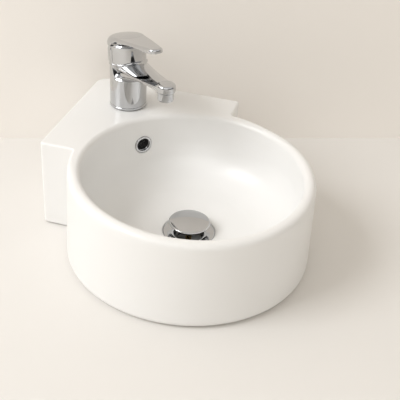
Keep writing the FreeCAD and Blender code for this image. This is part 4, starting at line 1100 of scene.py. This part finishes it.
def make_waste():
    """Flange with its dished throat, slotted tail and cross; the thread is made apart."""
    flange = [(22.5, -1.2)] + arc((31.9, -1.1), 1.1, 90, 0, 8)
    flange += [(33.0, -2.2), (32.7, -2.5), (21.4, -2.5), (20.95, -3.0), (20.95, -21.8)]
    flange += [(20.15, -22.6), (20.15, -75.2), (19.4, -76.0), (18.4, -76.0), (18.4, -6.6)]
    flange += arc((23.0, -5.8), 4.6, 180, 98, 9)
    tail = grid_mesh("waste_tail", on_bowl_axis(turned(flange, 160, 5.0), FLANGE_Z))
    slots = Vector((0.0, BOWL_Y, FLANGE_Z - SLOTS_DEPTH))
    slot = box_mesh("overflow_slots", slots, Vector((0.0, 1.0, 0.0)), (46.0, 12.0, 8.0))
    mesh = combined(tail, [("DIFFERENCE", slot)])
    new_object("waste_flange_and_tail", mesh, "chrome", "fixed", ["waste_body"], sharp=30.0)
    hub = [(0.05, 2.5), (6.9, 2.5), (7.5, 1.9), (7.5, -1.9), (6.9, -2.5), (0.05, -2.5)]
    middle = Vector((0.0, BOWL_Y, FLANGE_Z - CROSS_DEPTH))
    hub = grid_mesh("waste_cross", on_bowl_axis(turned(hub, 64), middle.z))
    arms = []
    for turn in (0.0, 90.0):
        ray = Vector((math.cos(math.radians(turn)), math.sin(math.radians(turn)), 0.0))
        arm = box_mesh(f"cross_{turn:.0f}", middle, ray, (38.0, 5.0, 4.9))
        arms.append(("UNION", bevelled(arm, 0.5)))
    new_object("waste_cross", combined(hub, arms), "chrome", "fixed", sharp=30.0)


def box_mesh(name, middle, along, sizes):
    """A closed box about a point; its length runs along the given ray."""
    up = Vector((0, 0, 1))
    aside = up.cross(along)
    with edited(bpy.data.meshes.new(name)) as (mesh, work):
        bmesh.ops.create_cube(work, size=1.0)
        for vert in work.verts:
            spot = along * vert.co.x * sizes[0] + aside * vert.co.y * sizes[1]
            vert.co = (middle + (spot + up * vert.co.z * sizes[2])) * MM
    return mesh


def bevelled(mesh, width, segments=3):
    sizes = {"offset": width * MM, "segments": segments, "profile": 0.5}
    with edited(mesh) as (_, work):
        bmesh.ops.bevel(work, geom=work.edges[:], affect="EDGES", clamp_overlap=True, **sizes)
    return mesh


def make_plug():
    """Domed cap with its rolled rim, and the lipped rubber seal below it."""
    crown, radius, fall = 17.0, 24.7, 2.2
    dome = (radius**2 + fall**2) / (2 * fall)
    spots = [radius * n / 24 for n in range(1, 25)]
    cap = [(0.05, crown)] + [(r, crown - dome + math.sqrt(dome**2 - r**2)) for r in spots]
    cap += arc((24.7, 13.5), 1.3, 85, -60, 12) + [(25.2, 12.3), (24.75, 12.2), (24.6, 12.5)]
    cap += [(24.6, 13.5), (20.4, 13.6), (20.3, 12.3), (20.2, 12.2), (0.05, 12.2)]
    dish = on_bowl_axis(turned(cap[::-1], 192, 2.5), FLANGE_Z)
    turned_piece("plug_cap_dome", [dish], "chrome", "plug", ["plug_cap"])
    seal = [(4.1, 12.15), (20.0, 12.15), (20.2, 11.9), (20.2, 10.4), (19.6, 9.9), (19.2, 9.4)]
    seal += [(19.9, 9.0), (20.1, 8.5), (19.5, 7.9), (18.9, 7.4), (18.7, 6.2)]
    seal += [(18.4, 5.75), (4.1, 5.75)]
    lips = on_bowl_axis(turned(seal, 128, 2.5), FLANGE_Z)
    turned_piece("plug_seal_lips", [lips], "seal", "plug", ["plug_seal"])


def make_threads():
    """The ridges that run round the waste's tail, above and below its run-out groove."""
    for name, low, turns in (("waste_thread_nut", -42.9, 8.0), ("waste_thread_trap", -75.0, 13.0)):
        ridge = {"Radius": 20.45 * MM, "Pitch": PITCH * MM, "Turns": turns, "Depth": 0.5 * MM}
        mesh = repeated(name, thread_ridge(), ridge, "chrome")
        move(mesh, np.eye(3), (0.0, BOWL_Y, FLANGE_Z + low))
        new_object(name, mesh, "chrome", "fixed", sharp=50.0)


def make_spring():
    """The spring under the plug's stem, made at its free length; in use it closes up as the plug
    is pressed.
    """
    floor, wire, turns, free = FLANGE_Z - SPRING_FOOT, 0.45, 6.0, 16.0
    pitch = (free - 2 * wire) / turns
    coil = {"Radius": 2.6 * MM, "Pitch": pitch * MM, "Turns": turns, "Depth": wire * MM}
    mesh = repeated("click_coil", thread_ridge(), coil, "steel")
    move(mesh, np.eye(3), (0.0, BOWL_Y, floor + wire))
    spring = new_object("click_coil", mesh, "steel", "fixed", ["click_spring"], sharp=70.0)
    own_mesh(spring)


def make_overflow():
    """The rolled ring with its spigot, and the dark sleeve, ribs and web in its throat."""
    ring = [(8.2, -10.0), (9.2, -10.0), (9.2, -0.05), (12.0, -0.05)]
    ring += arc((11.2, 0.95), 1.0, -20, 90, 8) + arc((9.9, 0.95), 1.0, 90, 180, 8)
    ring += [(8.9, -0.6), (8.2, -1.4)]
    rolled = facing_bowl(turned(ring, 128, 1.5))
    turned_piece("overflow_ring_rolled", [rolled], "chrome", "fixed", ["overflow_ring"])
    ribs = []
    for r in (1.6, 3.3, 5.0, 6.7):
        rib = [(r - 0.45, -3.4), (r + 0.45, -3.4), (r + 0.35, -2.5), (r - 0.35, -2.5)]
        ribs.append(facing_bowl(turned(rib, 64)))
    turned_piece("overflow_ribs", ribs, "black_plastic", "fixed")
    sleeve = [(7.7, -9.8), (8.15, -9.8), (8.15, -1.7), (8.6, -1.0), (8.3, -0.9), (7.7, -1.7)]
    sleeve = facing_bowl(turned(sleeve, 96, 2.0))
    turned_piece("overflow_sleeve", [sleeve], "black_plastic", "fixed")
    bars = {"Count": 4, "Length": 15.6 * MM, "Width": 0.7 * MM, "Depth": 0.8 * MM}
    web = repeated("web_bars", crossed_bars(), bars, "black_plastic")
    turn = np.array([[1.0, 0, 0], [0, 0, -1.0], [0, 1.0, 0]])
    move(web, turn, (0.0, OVERFLOW_Y + WEB_DEPTH, OVERFLOW_Z))
    new_object("overflow_web", web, "black_plastic", "fixed")


def make_aerator():
    """The housing below the nose and the woven screen across its mouth."""
    shift = (0.0, TAP_Y - settings("tap").spout_reach / MM, OUTLET_Z)
    housing = [(8.25, 6.0), (9.3, 6.0), (9.3, 0.1), (9.45, -0.15), (9.45, -0.75), (9.6, -0.95)]
    housing += [(10.0, -1.3), (10.0, -10.9), (9.7, -11.7), (9.2, -12.0)]
    housing += [(7.75, -12.0), (7.65, -11.6), (8.25, -10.9)]
    shell = shifted(turned(housing, 128, 1.5), *shift)
    turned_piece("aerator_shell", [shell], "chrome", "fixed", ["aerator_housing"])
    cells = settings("tap").aerator_cells
    sizes = {"Count": cells, "Spacing": 13.0 * MM / cells, "Radius": 7.5 * MM, "Width": 0.35 * MM}
    screen = repeated("screen_bars", woven_screen(), sizes, "grey_plastic")
    move(screen, np.eye(3), (*shift[:2], shift[2] - SCREEN_DEPTH))
    new_object("aerator_screen", screen, "grey_plastic", "fixed")


def make_trim():
    """The ring that the tap stands on."""
    ring = [(17.45, 1.0), (24.3, 1.0), (24.7, 1.3), (24.8, 1.7)]
    ring += [(24.8, 3.4), (24.5, 3.8), (24.2, 3.98), (17.45, 3.98)]
    foot = shifted(turned(ring, 160, 2.0), y=TAP_Y)
    turned_piece("tap_foot_ring", [foot], "chrome", "fixed", ["base_ring"])


# ---------------------------------------------------------------- operators


class BASIN_OT_finishes(bpy.types.Operator):
    """Give every carried-over CAD node its finish"""

    bl_idname = "basin.finishes"
    bl_label = "Finishes"

    def execute(self, context):
        for name, nodes in FINISHED_NODES.items():
            for node in nodes.split():
                mesh = NODES[node].data
                mesh.materials.clear()
                mesh.materials.append(material(name))
        return {"FINISHED"}


class BASIN_OT_china(bpy.types.Operator):
    """Make the basin's casting with its overflow duct and holes"""

    bl_idname = "basin.china"
    bl_label = "China"

    def execute(self, context):
        make_china()
        return {"FINISHED"}


class BASIN_OT_mixer(bpy.types.Operator):
    """Make the tap's body and its lever"""

    bl_idname = "basin.mixer"
    bl_label = "Mixer"

    def execute(self, context):
        make_mixer()
        make_lever()
        return {"FINISHED"}


class BASIN_OT_waste(bpy.types.Operator):
    """Make the waste, its plug and the overflow ring"""

    bl_idname = "basin.waste"
    bl_label = "Waste"

    def execute(self, context):
        make_waste()
        make_threads()
        make_plug()
        make_spring()
        make_overflow()
        return {"FINISHED"}


class BASIN_OT_trim(bpy.types.Operator):
    """Make the aerator with its screen, and the ring under the tap"""

    bl_idname = "basin.trim"
    bl_label = "Trim"

    def execute(self, context):
        make_aerator()
        make_trim()
        return {"FINISHED"}


class BASIN_OT_stage(bpy.types.Operator):
    """Make the floor, the wall, the lights and the camera"""

    bl_idname = "basin.stage"
    bl_label = "Stage"

    def execute(self, context):
        lay_floor()
        light_stage()
        place_camera()
        return {"FINISHED"}


# ---------------------------------------------------------------- stage

FLOOR_Z = -0.1212
WALL_NORMAL = Vector((0.39467, 0.91882, 0.0))
WALL_DISTANCE = 0.0328
CAMERA_PLACE = Vector((-0.42145, -0.98024, 0.49795))
CAMERA_RIGHT = Vector((0.86973, -0.48985, 0.06017))
CAMERA_UP = Vector((0.22805, 0.50700, 0.83123))
CAMERA_BACK = Vector((-0.43768, -0.70922, 0.55266))
FOCAL_PIXELS = 797.75
PICTURE_PIXELS = 400.0
SENSOR = 36.0
KEY_PLACE = (2.9, 1.15, 2.9)
FILL_PLACE = (0.0, 2.2, 1.6)


def backdrop(name, corners, tone):
    mesh = bpy.data.meshes.new(name)
    mesh.from_pydata([tuple(c) for c in corners], [], [(0, 1, 2, 3)])
    obj = linked(name, mesh)
    paint = bpy.data.materials.new(f"{name}_paint")
    paint.use_nodes = True
    tree = paint.node_tree
    shader = tree.nodes["Principled BSDF"]
    shader.inputs["Base Color"].default_value = (*tone, 1.0)
    shader.inputs["Roughness"].default_value = 0.85
    shader.inputs["Specular IOR Level"].default_value = 0.1
    side = add(tree, "ShaderNodeNewGeometry")
    clear = add(tree, "ShaderNodeBsdfTransparent")
    links = [(side.outputs["Backfacing"], 0), (shader.outputs[0], 1), (clear.outputs[0], 2)]
    mix = add(tree, "ShaderNodeMixShader", links)
    tree.links.new(mix.outputs[0], tree.nodes["Material Output"].inputs["Surface"])
    mesh.materials.append(paint)


def lay_floor():
    stage = settings("stage")
    along = Vector((WALL_NORMAL.y, -WALL_NORMAL.x, 0.0))
    foot = WALL_NORMAL * WALL_DISTANCE + Vector((0.0, 0.0, FLOOR_Z))
    reach, near, high = 4.0, 5.0, 3.5
    left, right = foot - along * reach, foot + along * reach
    ahead = WALL_NORMAL * near
    up = Vector((0.0, 0.0, high))
    backdrop("floor", (left - ahead, right - ahead, right, left), stage.floor)
    backdrop("wall", (left, right, right + up, left + up), stage.wall)


def area_light(name, place, target, size, power, tone):
    """A rectangular lamp that faces its target."""
    data = bpy.data.lights.new(name, "AREA")
    data.shape = "RECTANGLE"
    data.size, data.size_y = size
    data.energy = power
    data.color = tone
    obj = linked(name, data)
    aim = target - place
    obj.rotation_euler = aim.to_track_quat("-Z", "Y").to_euler()
    obj.location = place


def light_stage():
    """The large soft lamp at the left, the weak one in front and the world."""
    stage = settings("stage")
    middle = Vector((0.0, BOWL_Y * MM, -0.05))
    left = -CAMERA_RIGHT
    flat_back = Vector((CAMERA_BACK.x, CAMERA_BACK.y, 0.0)).normalized()
    lamps = (
        ("key_light", KEY_PLACE, (1.9, 1.9), stage.key, (0.98, 0.99, 1.0)),
        ("fill_light", FILL_PLACE, (2.0, 1.2), stage.fill, (1.0, 0.985, 0.96)),
    )
    for name, (aside, near, above), size, power, tone in lamps:
        place = middle + left * aside + flat_back * near + Vector((0, 0, above))
        area_light(name, place, middle, size, power, tone)
    make_world()


def make_world():
    """An even warm light for the surfaces, and a studio of pale and dark panels for the gloss."""
    world = bpy.data.worlds.new("studio")
    bpy.context.scene.world = world
    world.use_nodes = True
    tree = world.node_tree
    sky = tree.nodes["Background"]
    place = add(tree, "ShaderNodeTexCoord")
    parts = add(tree, "ShaderNodeSeparateXYZ", [(place.outputs["Generated"], 0)])
    height = add(tree, "ShaderNodeValToRGB", [(parts.outputs["Z"], 0)])
    ramp = height.color_ramp
    ramp.interpolation = "EASE"
    stops = ((0.0, 0.55), (0.10, 0.30), (0.16, 0.035), (0.34, 0.03))
    stops += ((0.42, 0.5), (0.62, 1.0), (0.9, 0.62))
    for n, (spot, tone) in enumerate(stops):
        stop = ramp.elements[n] if n < 2 else ramp.elements.new(spot)
        stop.position = spot
        stop.color = (tone, tone * 0.985, tone * 0.96, 1.0)
    ray = add(tree, "ShaderNodeLightPath").outputs
    warm, seen = (0.55, 0.512, 0.455, 1.0), (0.80, 0.76, 0.70, 1.0)
    lit = mixed(tree, ray["Is Glossy Ray"], warm, height.outputs["Color"])
    tree.links.new(mixed(tree, ray["Is Camera Ray"], lit, seen), sky.inputs["Color"])
    sky.inputs["Strength"].default_value = 1.0


def place_camera():
    data = bpy.data.cameras.new("camera")
    data.sensor_fit = "HORIZONTAL"
    data.sensor_width = SENSOR
    data.lens = FOCAL_PIXELS / PICTURE_PIXELS * SENSOR
    data.clip_start = 0.05
    obj = linked("camera", data)
    axes = Matrix((CAMERA_RIGHT, CAMERA_UP, CAMERA_BACK)).transposed().to_4x4()
    obj.matrix_world = Matrix.Translation(CAMERA_PLACE) @ axes
    bpy.context.scene.camera = obj
    bpy.context.scene.view_settings.view_transform = "Standard"


class VIEW3D_PT_basin(bpy.types.Panel):
    """Settings and steps of the corner basin"""

    bl_label = "Corner basin"
    bl_idname = "VIEW3D_PT_basin"
    bl_space_type = "VIEW_3D"
    bl_region_type = "UI"
    bl_category = "Basin"

    def draw(self, context):
        for part, group_class in SETTINGS:
            box = self.layout.box()
            for name in group_class.__annotations__:
                box.prop(settings(part), name)
        for step in STEPS:
            self.layout.operator(step.bl_idname)


SETTINGS = (("china", ChinaSettings), ("tap", TapSettings), ("stage", StageSettings))
STEPS = (
    BASIN_OT_finishes,
    BASIN_OT_china,
    BASIN_OT_mixer,
    BASIN_OT_waste,
    BASIN_OT_trim,
    BASIN_OT_stage,
)
CLASSES = tuple(group_class for _, group_class in SETTINGS) + STEPS + (VIEW3D_PT_basin,)


def register():
    for item in CLASSES:
        bpy.utils.register_class(item)
    for part, group_class in SETTINGS:
        setattr(bpy.types.Scene, f"basin_{part}", PointerProperty(type=group_class))


def unregister():
    for part, _ in SETTINGS:
        delattr(bpy.types.Scene, f"basin_{part}")
    for item in reversed(CLASSES):
        bpy.utils.unregister_class(item)


def main():
    register()
    for step in STEPS:
        area, name = step.bl_idname.split(".")
        getattr(getattr(bpy.ops, area), name)()


if __name__ == "__main__":
    main()
